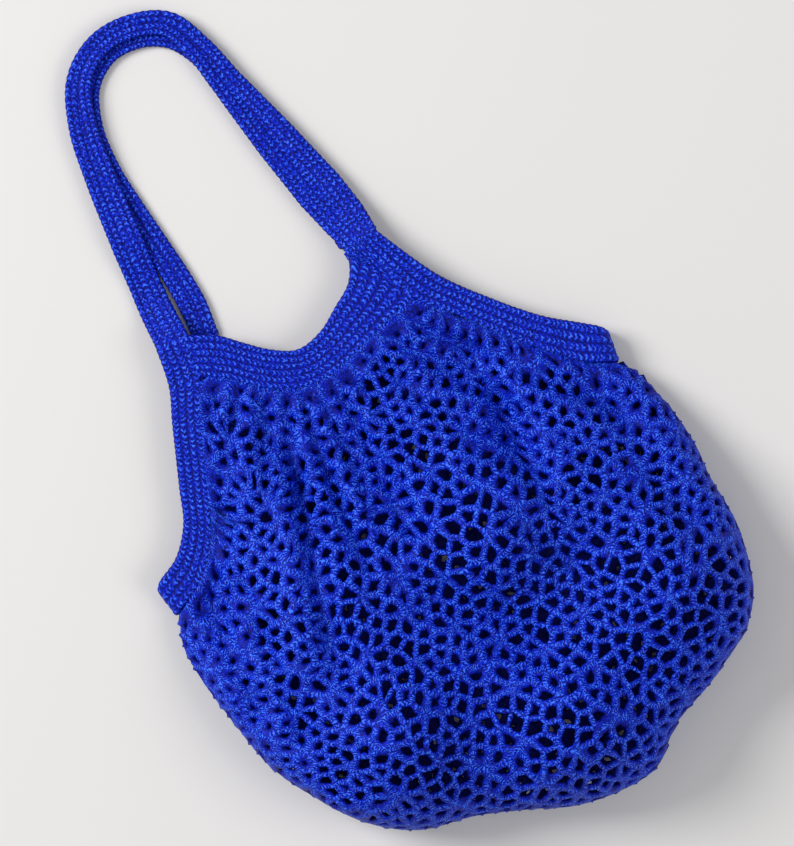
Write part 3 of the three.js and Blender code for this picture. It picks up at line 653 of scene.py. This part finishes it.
def openness_of(middles, outline, top, base, swell):
    """How open the lace is at the holes' middles, about 1 where it is most open."""
    full, folded = 0.0, 0.0
    for x, drop, high in zip(*BULGES.values()):
        away = np.linalg.norm(middles - on_pouch(x, drop), axis=1) / (FULL_REACH * BULGE_RADIUS)
        full = full + high * np.exp(-(away**2))
    for x1, drop1, x2, drop2, deep, half in zip(*CREASES.values()):
        away = distance_to_line(middles, on_pouch(x1, drop1)[0], on_pouch(x2, drop2)[0]) / (half * HALF_WIDTH)
        folded = folded + deep * np.exp(-(away**2))
    first, last = HALF_CELLS["left"] * FINE, (HALF_CELLS["left"] + HALF_CELLS["neck"]) * FINE
    gaps = np.linalg.norm(middles[:, None] - top[None], axis=2)
    from_neck = gaps[:, first:last].min(axis=1)
    from_sides = np.minimum(gaps[:, :first].min(axis=1), gaps[:, last:].min(axis=1))
    from_rim = np.linalg.norm(middles[:, None] - outline[None, len(top):], axis=2).min(axis=1)
    x, y = middles.T
    patch = 0.5 + 0.25 * (np.sin(x / 9.3 + 1.1 * np.sin(y / 13)) + np.sin(y / 8.1 + 1.3 * np.sin(x / 11)))
    far_in = opening(from_rim, *TOWARDS_RIM) * opening(x, *TOWARDS_LEFT)
    level = base * far_in + swell * np.minimum(full, 1) - FOLDED_SHARE * np.minimum(folded, 1)
    by_yoke = opening(from_neck, *NEAR_NECK) * opening(from_sides, *NEAR_SIDES)
    return level * by_yoke * mix(*PATCHES, patch) * opening(from_rim, *NEAR_RIM)


front_open = openness_of(front_holes[:, :2], front_outline, front_seam, **FRONT_OPEN)
back_open = openness_of(back_holes[:, :2], back_outline, back_seam, **BACK_OPEN)
print("middling openness:", np.median(front_open).round(2), "in front,", np.median(back_open).round(2), "behind")

# %% [markdown]
# ## The skin of the lace
# Round each hole, rings of points lead from its edge out to the strands' middle lines, above and below.
# Neighbouring cells share the points of their common strand, so the whole lace is one closed skin. At the
# net's own edge the two sides meet: along the seam the lace rises to the band that laps over it, and along
# the free rim it stands out in small picots. Each face's corners get a UV place in millimetres, along the
# strand and aside from its middle line, so that the yarn can be drawn along every strand.

# %% Rings and edges
TOP_RINGS = ((0.28, 0.72), (0.62, 0.95))  # share of the way to the cell's edge, and of the thickness
UNDER_RINGS = ((0.4, 0.85),)
SEAM_LIFT = 0.9  # the lace's border rises to the band's upper side, as a share of half the thickness
PICOT_STEP = 6.2  # along the free rim
PICOT = 1.6  # how far a picot stands out, as a share of half the thickness
STRAND_SHARES = [0.72, 0.85, 1.0, 1.2, 1.45]  # of a strand's width, by the tension of the hand


def onto(point, outline):
    """The nearest place on a closed outline, and its number among the outline's links."""
    way = np.roll(outline, -1, axis=0) - outline
    share = np.clip(((point - outline) * way).sum(axis=1) / np.maximum((way * way).sum(axis=1), 1e-9), 0, 1)
    places = outline + way * share[:, None]
    nearest = np.linalg.norm(places - point, axis=1).argmin()
    return places[nearest], nearest


def edge_uses(rings):
    """How many cells use each edge between two knots."""
    return Counter(frozenset(edge) for ring in rings for edge in zip(ring, ring[1:] + ring[:1]))


def between(layers, outer, after, lengths, order):
    """The faces between neighbouring rings of one side, and the UV places of their corners."""
    way = outer[after] - outer
    way /= np.maximum(np.linalg.norm(way, axis=1), 1e-6)[:, None]
    u_here, u_ahead = np.array(lengths).T
    aside = []
    for rows, _ in layers:
        gaps = rows - outer, rows[after] - outer
        aside.append([np.abs(gap[:, 0] * way[:, 1] - gap[:, 1] * way[:, 0]) for gap in gaps])
    for (_, near), (_, far), near_v, far_v in zip(layers, layers[1:], aside, aside[1:]):
        corners = [near, far, far[after], near[after]]
        flat = [(u_here, near_v[0]), (u_here, far_v[0]), (u_ahead, far_v[1]), (u_ahead, near_v[1])]
        faces = np.column_stack([corners[k] for k in order])
        yield faces, np.stack([np.column_stack(flat[k]) for k in order], axis=1)


print("a strand is", 2 * STRAND_HALF, "mm wide where the lace is open, times", STRAND_SHARES)

# %% Lace in plan
def lace_plan(holes, knots, rings, open_shares, outline, top, picots, seed):
    """All points of a lace in plan, with their height share and hole, and its faces with their UV places."""
    random = np.random.default_rng(seed)
    points, lifts, nears, faces, uvs, shared = [], [], [], [], [], {}
    use = edge_uses(rings)
    border = {knot for edge, count in use.items() if count == 1 for knot in edge}
    knots = np.array([onto(knot, outline)[0] if k in border else knot for k, knot in enumerate(knots)])
    lengths = lengths_along(outline)

    def add(rows, rises, near):
        first = len(points)
        points.extend(rows)
        lifts.extend(rises)
        nears.extend([near] * len(rows))
        return np.arange(first, first + len(rows))

    def spot(key, point, on_border, near):
        """A place on a cell's edge, shared by its cells: the points above and below, and whether on the rim."""
        if key not in shared:
            if on_border:
                point, link = onto(point, outline)
                on_seam = link < len(top) - 1
                wave = max(0.0, math.sin(2 * math.pi * lengths[link] / PICOT_STEP))
                number = add([point], [SEAM_LIFT if on_seam else picots * PICOT * wave], near)[0]
                shared[key] = (number, number, not on_seam)
            else:
                shared[key] = (*add([point, point], [1.0, -1.0], near), False)
        return shared[key]

    for hole, ring, open_share in zip(holes, rings, open_shares):
        middle, tip, kind = hole[:2], hole[2], hole[3]
        if len(ring) < 3:
            continue
        loop, along_strand, at_knot = [], [], []
        for a, b in zip(ring, ring[1:] + ring[:1]):
            span = float(np.linalg.norm(knots[b] - knots[a]))
            steps = max(1, round(span / SPOT_STEP))
            for step in range(steps):
                number, ahead = (step, step + 1) if a < b else (steps - step, steps - step - 1)
                on_border = a in border if step == 0 else use[frozenset((a, b))] == 1
                key = a if step == 0 else (min(a, b), max(a, b), number)
                loop.append(spot(key, mix(knots[a], knots[b], step / steps), on_border, middle))
                along_strand.append((number * span / steps, ahead * span / steps))
                at_knot.append((2 * step / steps - 1) ** 2)
        above, below, on_rim = (np.array(column) for column in zip(*loop))
        outer = np.array([points[number] for number in above])
        size = open_share * (LEAF_SIZE if kind else KITE_SIZE) * random.uniform(0.68, 1.3)
        half = STRAND_HALF * (2 - open_share) * random.choice(STRAND_SHARES)
        reach = hole_reach(middle, outer, knots[ring], np.array(at_knot), tip, kind, size, half, random)

        def ring_at(step, lift, side):
            rows = mix(middle, outer, mix(reach, 1.0, step)[:, None])
            rim_lift = math.sin(math.pi * min(step * 1.15, 1)) ** 0.5 if step and side > 0 else lift
            return rows, add(list(rows), list(side * np.where(on_rim, rim_lift, lift)), middle)

        edge_row = ring_at(0.0, 0.0, 1)
        upper = [edge_row, *(ring_at(step, lift, 1) for step, lift in TOP_RINGS), (outer, above)]
        lower = [edge_row, *(ring_at(step, lift, -1) for step, lift in UNDER_RINGS), (outer, below)]
        after = np.roll(np.arange(len(loop)), -1)
        for layers, order in ((upper, (0, 1, 2, 3)), (lower, (0, 3, 2, 1))):
            for quads, places in between(layers, outer, after, along_strand, order):
                faces.append(quads)
                uvs.append(places)
    return np.array(points), np.array(lifts), np.array(nears), np.vstack(faces), np.vstack(uvs)


front_plan = lace_plan(front_holes, front_knots, front_rings, front_open, front_outline, front_seam, 1, 11)
back_plan = lace_plan(back_holes, back_knots, back_rings, back_open, back_outline, back_seam, 0, 12)
print("points of the laces in plan:", len(front_plan[0]), "and", len(back_plan[0]))

# %% [markdown]
# ## From the plan to the pouch
# Every point in plan has a share across and down its net, found by Newton's method from a coarse first guess.
# The surface functions then give its place in space, and its height share sets it above or below the sheet.
# An attribute called crown tells the material how high a point stands, and which sides face into the pouch,
# where the strands lie in each other's shade: the material paints shade on the low places and on those sides.

# %% Places on a net
NEWTON_STEPS = 7
NUDGE = 1e-4
LONGEST_STEP = 0.1


def shares_of(points, top, guess):
    """The shares across and down of places in plan, by Newton's method."""
    across, down = guess.T.copy()
    for _ in range(NEWTON_STEPS):
        here = plan_point(top, across, down)
        by_across = (plan_point(top, across + NUDGE, down) - here) / NUDGE
        by_down = (plan_point(top, across, down + NUDGE) - here) / NUDGE
        miss = points - here
        size = by_across[:, 0] * by_down[:, 1] - by_across[:, 1] * by_down[:, 0]
        size = np.where(np.abs(size) < 1, 1, size)
        step_a = (miss[:, 0] * by_down[:, 1] - miss[:, 1] * by_down[:, 0]) / size
        step_d = (by_across[:, 0] * miss[:, 1] - by_across[:, 1] * miss[:, 0]) / size
        across = np.clip(across + np.clip(step_a, -LONGEST_STEP, LONGEST_STEP), 0, 1 - NUDGE)
        down = np.clip(down + np.clip(step_d, -LONGEST_STEP, LONGEST_STEP), 0, 1 - NUDGE)
    return np.column_stack([across, down])


def rough_shares(points, top):
    """The shares of the nearest of a coarse grid of places."""
    across, down = (x.ravel() for x in np.meshgrid(np.linspace(0, 1, 61), np.linspace(0, 1, 51)))
    places = plan_point(top, across, down)
    nearest = [np.linalg.norm(places - p, axis=1).argmin() for p in points]
    return np.column_stack([across[nearest], down[nearest]])


probe = rough_shares(front_holes[:1, :2], front_seam)[0]
print("the first hole lies at shares", *probe.round(2))

# %% Lace pieces
INSIDE_SHADE = -0.8  # the crown of the sides that face into the pouch, which paints them in deep shade


def add_mesh(name, points, faces, uv, crown):
    """A smooth mesh with a UV place for each corner of its faces, and with its crown, which paints shade, as an
    attribute.
    """
    mesh = bpy.data.meshes.new(name)
    mesh.from_pydata(to_frame(points).tolist(), [], faces)
    mesh.uv_layers.new(name="stitches").data.foreach_set("uv", uv.ravel())
    mesh.attributes.new("crown", "FLOAT", "POINT").data.foreach_set("value", crown.astype(float))
    mesh.validate()
    mesh.polygons.foreach_set("use_smooth", [True] * len(mesh.polygons))
    piece = bpy.data.objects.new(name, mesh)
    bpy.context.collection.objects.link(piece)
    triangles = sum(len(p.vertices) - 2 for p in mesh.polygons)
    print(f"{name}: {len(mesh.vertices)} points, {triangles} triangles")
    return piece


def lace(name, plan, surface, top, inner_side):
    """The lace of one net. Its inner side, 1 above or -1 below, faces into the pouch."""
    points, lifts, nears, faces, uvs = plan
    middles, which = np.unique(nears, axis=0, return_inverse=True)
    guess = shares_of(middles, top, rough_shares(middles, top))[which.ravel()]
    across, down = shares_of(points, top, guess).T
    placed = surface(across, down) + facing(surface, across, down) * (lifts * NET_THICKNESS / 2)[:, None]
    # The inner sides get INSIDE_SHADE, painted shade; elsewhere crown follows the height, so the holes' edges
    # are painted darker, as shade.
    crown = np.where(lifts * inner_side > 0, INSIDE_SHADE, np.abs(lifts))
    return add_mesh(name, placed, faces.tolist(), uvs, crown)


net_front = lace("lace_front", front_plan, front_surface, front_seam, -1)
net_back = lace("lace_back", back_plan, back_surface, back_seam, 1)

# %% [markdown]
# ## Bands and handles
# The solid parts are worked in rows of close stitches that run lengthwise. Each is a long strip with a
# cushioned top: every stitch is a small pillow, and neighbouring rows are half a stitch apart. The strip's
# fine grid follows its two edges, and its UV map counts stitches and rows, so the material can draw the yarn.
# A band laps a little over the lace's border, and where two strips meet, each end is tucked into the other,
# so that no gap shows. A free edge stands out by the yarn's fuzz.

# %% Strip sections
LAP = 1.2  # how far a band reaches over the lace's border
TUCK = 4.0  # how far an end is tucked into the piece that it is worked onto
TUCK_DEPTH = 1.3  # by which the tucked end sinks
FOOT_TRIM = 0.6  # by which a handle's foot is narrower than the place that it is worked onto


def levelled(outer, inner, z):
    """Both edges of a band at a height, with the inner one drawn over the lace's border."""
    width = np.linalg.norm(inner - outer, axis=-1, keepdims=True)
    drawn = mix(inner, outer, -LAP / width)
    height = np.broadcast_to(np.asarray(z, float), (len(outer),))[:, None]
    return np.hstack([outer, height]), np.hstack([drawn, height])


def tucked(outer, inner):
    """Sections with one more at either end, which goes on into the next piece and sinks in it."""
    for end, before in ((0, 1), (-1, -2)):
        middle = (outer + inner) / 2
        way = middle[end] - middle[before]
        step = way / np.linalg.norm(way) * TUCK
        step[2] = -TUCK_DEPTH
        place = 0 if end == 0 else len(outer)
        outer = np.insert(outer, place, outer[end] + step, axis=0)
        inner = np.insert(inner, place, inner[end] + step, axis=0)
    return outer, inner


def limb(edges, z):
    """Sections of one half of a side band, from the foot to the fold, where it turns a quarter circle."""
    straight_outer = np.vstack([edges["foot"][0], edges["outer"][::FINE]])
    straight_inner = np.vstack([edges["foot"][1], edges["inner"][::FINE]])
    last = np.linalg.norm(straight_outer[-1] - straight_outer[-2])
    turn = np.radians([90, 60, 30, 0])
    inset = FOLD_RADIUS * (1 - np.cos(turn)) / last
    fold_outer = mix(straight_outer[-1], straight_outer[-2], inset[:, None])
    fold_inner = mix(straight_inner[-1], straight_inner[-2], inset[:, None])
    outer = np.vstack([straight_outer[:-1], fold_outer])
    inner = np.vstack([straight_inner[:-1], fold_inner])
    heights = np.concatenate([np.full(len(straight_outer) - 1, z), mix(FOLD_Z, z, np.sin(turn))])
    return levelled(outer, inner, heights)


def side_band_sections(front, back):
    """Sections from the front handle's foot round the fold to the back handle's foot."""
    front_outer, front_inner = limb(front, FRONT_BAND_Z)
    back_outer, back_inner = limb(back, BACK_BAND_Z)
    outer = np.vstack([front_outer, back_outer[::-1][1:]])
    return tucked(outer, np.vstack([front_inner, back_inner[::-1][1:]]))


def neck_band_sections(neck, left, right, z):
    """Sections from one side band to the other."""
    aside = np.array([SEAM_GAP, 0])
    outer = [left["foot"][1] + aside, *neck["outer"][FINE::FINE], neck["outer"][-1]]
    inner = [left["inner"][0] + aside, *neck["inner"][FINE:-1:FINE], right["inner"][0] - aside,
             right["foot"][1] - aside]
    return tucked(*levelled(np.array(outer), np.array(inner), z))


def handle_sections(rows, feet, foot_z):
    """Sections of a handle from the left foot to the right one, and the depth of its groove in each."""
    y = YOKE_RISE + rows["rise"] * HANDLE_RISE
    z = BACK_BAND_Z + rows["over"] * (BAND_THICKNESS + SEAM_GAP)
    middles = np.column_stack([rows["x"] * HALF_WIDTH, y, z])
    ends = [np.array([*(outer + inner) / 2 + [0, SEAM_GAP], foot_z]) for outer, inner in feet]
    path = catmull(np.vstack([ends[0], middles, ends[1]]), 6)
    spots = np.linspace(0, len(rows["x"]) + 1, len(path))
    foot_widths = [np.linalg.norm(inner - outer) - FOOT_TRIM for outer, inner in feet]
    widths = np.concatenate([[foot_widths[0]], rows["wide"] * STRAP_WIDTH, [foot_widths[1]]])
    grooves = np.concatenate([[0], rows["groove"], [0]])
    width = np.interp(spots, np.arange(len(widths)), widths)
    groove = np.interp(spots, np.arange(len(grooves)), grooves)
    tangent = np.gradient(path, axis=0)
    across = np.column_stack([tangent[:, 1], -tangent[:, 0], np.zeros(len(path))])
    across /= np.linalg.norm(across, axis=1)[:, None]
    for end, (outer, inner), sign in ((0, feet[0], 1), (-1, feet[1], -1)):
        way = np.array([*(inner - outer), 0]) * sign
        across[end] = way / np.linalg.norm(way)
    edges = tucked(path - across * width[:, None] / 2, path + across * width[:, None] / 2)
    return *edges, np.concatenate([[0], groove, [0]])


print("a side band has", len(side_band_sections(front_left, back_left)[0]), "sections")

# %% Strip skin
STITCH = 3.7  # long
ROW = 3.5  # wide
RELIEF = 0.62  # from a stitch's top to the pits between stitches
SCALLOP = 0.4  # by which stitches bulge at an edge
FUZZ = 0.7  # by which the yarn stands out from a free edge
STEP = 0.8  # from one section of a strip to the next
CORNER_LENGTH = 9.0  # either side of a fold, over which its outer corner is rounded off
CORNER_CUT = 4.5
GROOVE_SHARE = 0.13  # half the width of a groove, as a share of the strip's


def wander(number, along_mm):
    """By how many stitches a row has crept ahead of its neighbours."""
    return 0.12 * np.sin(2.4 * number + along_mm / 11)


def stitched_height(along_mm, row):
    """The height of the worked cloth over its pits, from 0 to 1: one pillow for each stitch."""
    number = np.floor(row)
    up = np.abs(np.sin(math.pi * row)) ** 0.55
    shift = 0.5 * (number % 2) + wander(number, along_mm)
    along_stitch = np.abs(np.sin(math.pi * (along_mm / STITCH + shift))) ** 0.6
    return up * (0.35 + 0.65 * along_stitch)


def strip_edges(outer, inner, from_both, fold):
    """Both edges of a strip at even steps, with fuzz on the free ones and a fold's outer corner cut off."""
    chains = catmull(outer, 12), catmull(inner, 12)
    length = lengths_along((chains[0] + chains[1]) / 2)
    spots = np.linspace(0, length[-1], int(length[-1] / STEP) + 1)
    outside, inward = (np.column_stack([np.interp(spots, length, c[:, k]) for k in range(3)]) for c in chains)
    aside = (inward - outside) / np.linalg.norm(inward - outside, axis=1)[:, None]
    outside, inward = outside - aside * FUZZ, inward + aside * FUZZ * from_both
    if fold:
        from_fold = np.abs(spots - spots[np.abs(outside[:, 2] - FOLD_Z).argmin()])
        near = np.clip(1 - from_fold / CORNER_LENGTH, 0, 1)
        outside = outside + aside * (CORNER_CUT * (1 - np.sqrt(1 - near**2)))[:, None]
    return spots, outside, inward


def round_trip(upper, lower):
    """Values over the top of each section and back underneath."""
    return np.concatenate([upper, lower[:, -2:0:-1]], axis=1)


print("a handle has", int(402 / STEP), "fine sections")

# %% Strip mesh
def strip_mesh(name, outer, inner, groove=(0, 0), rows=None, columns=20, from_both=False, fold=False):
    """A worked strip between two edges, given by its sections. Its inner edge is square where it is a seam."""
    spots, outside, inward = strip_edges(outer, inner, from_both, fold)
    across = inward - outside
    width = np.linalg.norm(across, axis=1)
    up = np.cross(across, np.gradient((outside + inward) / 2, axis=0))
    up /= np.linalg.norm(up, axis=1)[:, None]
    even = np.linspace(0, 1, columns + 1)
    shares = mix((1 - np.cos(even * math.pi)) / 2, even, 0.65)  # closer together at the edges
    place = shares * width[:, None]
    from_edge = np.minimum(place, width[:, None] - place)
    row = from_edge / ROW if from_both else shares * rows + 0 * width[:, None]
    stitches = stitched_height(spots[:, None], row)
    profile = np.sqrt(np.clip(1 - (1 - np.minimum(from_edge / (BAND_THICKNESS / 2), 1)) ** 2, 0, 1))
    if not from_both:
        profile = np.where(shares > 0.5, np.maximum(profile, 0.75), profile)
    depth = np.interp(spots / spots[-1], np.linspace(0, 1, len(groove)), groove) * BAND_THICKNESS
    dip = depth[:, None] * np.exp(-(((shares - 0.5) / GROOVE_SHARE) ** 2))
    rise = profile * (BAND_THICKNESS / 2 - RELIEF * (1 - stitches))
    scallop = SCALLOP * (np.abs(np.sin(math.pi * spots / STITCH)) - 0.6)
    swell = (shares - 0.5) * 2 * scallop[:, None] * (from_edge < 2.2)
    unit = across / width[:, None]
    base = outside[:, None] + across[:, None] * shares[:, None] + unit[:, None] * swell[..., None]
    upper = base + up[:, None] * (rise - dip * 0.8)[..., None]
    lower = base + up[:, None] * (-rise - dip * 0.3)[..., None]
    points = round_trip(upper, lower).reshape(-1, 3)
    points[:, 2] = np.maximum(points[:, 2], 0)  # a tucked end stops at the floor
    row_ring = round_trip(row, row)
    steps, sides = len(spots) - 1, row_ring.shape[1]
    uv = np.stack([np.broadcast_to(spots[:, None] / STITCH, row_ring.shape), row_ring], axis=2).reshape(-1, 2)
    uv[:, 0] += wander(np.floor(uv[:, 1]), uv[:, 0] * STITCH)
    corner = np.arange(sides)
    start = np.arange(steps)[:, None] * sides
    first, second = (start + corner).ravel(), (start + (corner + 1) % sides).ravel()
    faces = np.column_stack([first, second, second + sides, first + sides]).tolist()
    faces += [corner[::-1].tolist(), (steps * sides + corner).tolist()]
    corner_uv = uv[np.concatenate([np.array(face) for face in faces])]
    # The stitches' height is the crown, which paints shade into the pits between stitches and rows.
    piece = add_mesh(name, points, faces, corner_uv, round_trip(stitches, stitches).reshape(-1))
    flat = float((width[:-1] * np.diff(spots)).sum())
    return piece, spots[-1], float(width.max()), flat


def feet(left, right, neck):
    """The places of a handle's two feet: from a side band's outer corner to the end of the neckline."""
    return [(left["foot"][0], neck["outer"][0]), (right["foot"][0], neck["outer"][-1])]


side_left, side_right = side_band_sections(front_left, back_left), side_band_sections(front_right, back_right)
neck_front = neck_band_sections(front_neck, front_left, front_right, FRONT_BAND_Z)
neck_back = neck_band_sections(back_neck, back_left, back_right, BACK_BAND_Z)
loop_front = handle_sections(FRONT_HANDLE, feet(front_left, front_right, front_neck), FRONT_BAND_Z)
loop_back = handle_sections(BACK_HANDLE, feet(back_left, back_right, back_neck), BACK_BAND_Z)
strips = {
    "side_band_left": strip_mesh("worked_side_left", *side_left, rows=4, fold=True),
    "side_band_right": strip_mesh("worked_side_right", *side_right, rows=4, fold=True),
    "neck_band_front": strip_mesh("worked_neck_front", *neck_front, rows=6, columns=30),
    "neck_band_back": strip_mesh("worked_neck_back", *neck_back, rows=6, columns=30),
    "handle_front": strip_mesh("worked_handle_front", *loop_front, columns=22, from_both=True),
    "handle_back": strip_mesh("worked_handle_back", *loop_back, columns=18, from_both=True),
}

# %% [markdown]
# ## Yarn
# The yarn is royal blue with a soft shine. The light that its links catch is painted into the colour as short
# slanted flecks of pale blue, painted highlights, and the gaps between them are painted deep blue, as shade. A
# wave
# over the UV places draws the links: a chain along each strand of the lace, and chevrons along each row of close
# stitches. A fine noise in the object's own space breaks them up as the twist of the yarn does. Both give the
# bump too, and crown paints shade on what lies low or faces into the pouch.

# %% Shader helpers
def operator(operation, swapped=False):
    """A method of Value that adds a Math node for one operator, or for its reflected form."""
    return lambda self, other: self.worked(operation, other, swapped=swapped)


class Value:
    """A number on its way through a material. Sums on it add Math nodes."""

    def __init__(self, graph, socket):
        self.graph, self.socket = graph, socket

    def worked(self, operation, *others, swapped=False):
        terms = [self, *others][::-1] if swapped else [self, *others]
        node = self.graph.add("ShaderNodeMath", {"operation": operation}, *terms)
        return Value(self.graph, node.outputs[0])

    __add__, __radd__ = operator("ADD"), operator("ADD", swapped=True)
    __sub__, __rsub__ = operator("SUBTRACT"), operator("SUBTRACT", swapped=True)
    __mul__, __rmul__ = operator("MULTIPLY"), operator("MULTIPLY", swapped=True)
    __truediv__, __rtruediv__ = operator("DIVIDE"), operator("DIVIDE", swapped=True)
    __pow__, __rpow__ = operator("POWER"), operator("POWER", swapped=True)

    def __abs__(self):
        return self.worked("ABSOLUTE")


class Graph:
    """One material and its nodes."""

    def __init__(self, name, roughness):
        self.material = bpy.data.materials.new(name)
        self.material.use_nodes = True
        self.tree = self.material.node_tree
        self.shader = self.tree.nodes["Principled BSDF"]
        self.shader.inputs["Roughness"].default_value = roughness

    def add(self, kind, settings, *inputs, **named):
        """A node with its settings, and with values or links for its sockets, by order or by name."""
        node = self.tree.nodes.new(kind)
        for key, value in settings.items():
            if key == "stops":
                ramp = node.color_ramp
                while len(ramp.elements) < len(value):
                    ramp.elements.new(0.5)
                for element, (position, colour) in zip(ramp.elements, value):
                    element.position, element.color = position, colour
            else:
                setattr(node, key, value)
        for key, value in [*enumerate(inputs), *named.items()]:
            self.feed(node.inputs[key.replace("_", " ") if isinstance(key, str) else key], value)
        return node

    def feed(self, socket, value):
        if isinstance(value, Value):
            value = value.socket
        if isinstance(value, bpy.types.NodeSocket):
            self.tree.links.new(value, socket)
        else:
            socket.default_value = value


def srgb(red, green, blue):
    """A colour as an eye reads it on screen, 0 to 255, as the linear light that a shader wants."""
    shares = [c / 255 for c in (red, green, blue)]
    return (*(s / 12.92 if s <= 0.04045 else ((s + 0.055) / 1.055) ** 2.4 for s in shares), 1)


print("a middling blue of 200 is", round(srgb(0, 0, 200)[2], 3), "in linear light")

# %% Yarn materials
# ROYAL is the yarn's own blue; the pale blue is painted highlight, where the links catch the light, and the deep
# blue is painted shade, in the gaps, the pits and the pouch's inside.
PAINTED_SHADE_BLUE, ROYAL, PAINTED_HIGHLIGHT_BLUE = srgb(0, 5, 96), srgb(0, 34, 203), srgb(66, 126, 255)
TONES = [(0.08, PAINTED_SHADE_BLUE), (0.4, ROYAL), (0.56, ROYAL), (0.85, PAINTED_HIGHLIGHT_BLUE)]
CHAIN = 2.1  # mm from one link of a strand's chain to the next
LINK = 3.1  # the same in a row of close stitches
SLANT = 0.36  # links by which the yarn runs back, for each mm from the strand's middle line


def yarn_material(name, worked):
    graph = Graph(name, 0.5)
    graph.shader.inputs["Specular IOR Level"].default_value = 0.12

    def reading(kind, output, *settings, **named):
        return Value(graph, graph.add(kind, *(settings or [{}]), **named).outputs[output])

    place = graph.add("ShaderNodeTexCoord", {}).outputs["Object"]
    twist = {"Scale": 1000.0, "Detail": 3.0, "Roughness": 0.65, "Distortion": 0.8}
    flecks = reading("ShaderNodeTexNoise", "Fac", Vector=place, **twist)
    crown = reading("ShaderNodeAttribute", "Fac", {"attribute_name": "crown"})
    uv = reading("ShaderNodeUVMap", "UV", {"uv_map": "stitches"})
    across, up = (reading("ShaderNodeSeparateXYZ", axis, Vector=uv) for axis in "XY")
    drift = reading("ShaderNodeTexNoise", "Fac", Vector=place, Scale=170.0, Detail=1.0)
    # row_crown fades the links towards the edges of a row or strand: in the colour this paints the flanks
    # darker, as shade.
    if worked:
        number = up.worked("FLOOR")
        within = abs((up - number) - 0.5)
        phase = across * (STITCH / LINK) + within * 1.1 + number * 0.37 + drift * 1.6
        row_crown = 1 - (within * 2) ** 4
    else:
        phase = across / CHAIN + up * SLANT + drift * 3.6
        row_crown = (up * up * -0.12).worked("EXPONENT")
    wave = ((phase * (2 * math.pi)).worked("SINE") * 0.5 + 0.5) * row_crown
    # tone: the links and the twist paint highlights in pale blue and shade in deep blue, and crown paints shade
    # on low places and on the inner sides.
    tone = (wave * 0.66 + flecks * 2.9 - 1.34) * (0.5 + crown * 0.5)
    ramp = graph.add("ShaderNodeValToRGB", {"stops": TONES}, tone)
    bump = graph.add("ShaderNodeBump", {}, Strength=0.8, Distance=0.0007, Height=flecks * 0.6 + wave * 0.4)
    graph.feed(graph.shader.inputs["Base Color"], ramp.outputs["Color"])
    graph.feed(graph.shader.inputs["Normal"], bump.outputs["Normal"])
    return graph.material


lace_yarn = yarn_material("lace_yarn", worked=False)
worked_yarn = yarn_material("worked_yarn", worked=True)

pale = Graph("pale_floor", 0.6)
pale.shader.inputs["Base Color"].default_value = srgb(225, 222, 219)
floor.data.materials.append(pale.material)
print("materials:", len(bpy.data.materials))

# %% [markdown]
# ## Joining the frame
# Every piece rides on the bag's one body and stands for its plain solid, which is hidden. Each strip's size and
# flat area are printed.

# %% Join the frame
for piece, node in ((net_front, "net_front"), (net_back, "net_back")):
    piece.data.materials.append(lace_yarn)
    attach(piece, "root")
    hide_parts(node)
for node, (piece, *_) in strips.items():
    piece.data.materials.append(worked_yarn)
    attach(piece, "root")
    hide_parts(node)

for node, (piece, length, width, area) in strips.items():
    print(node, "strip", round(length), "x", round(width), "mm, flat area", round(area), "mm2")
    width * 0.001
    length * 0.001
    area * 1e-6
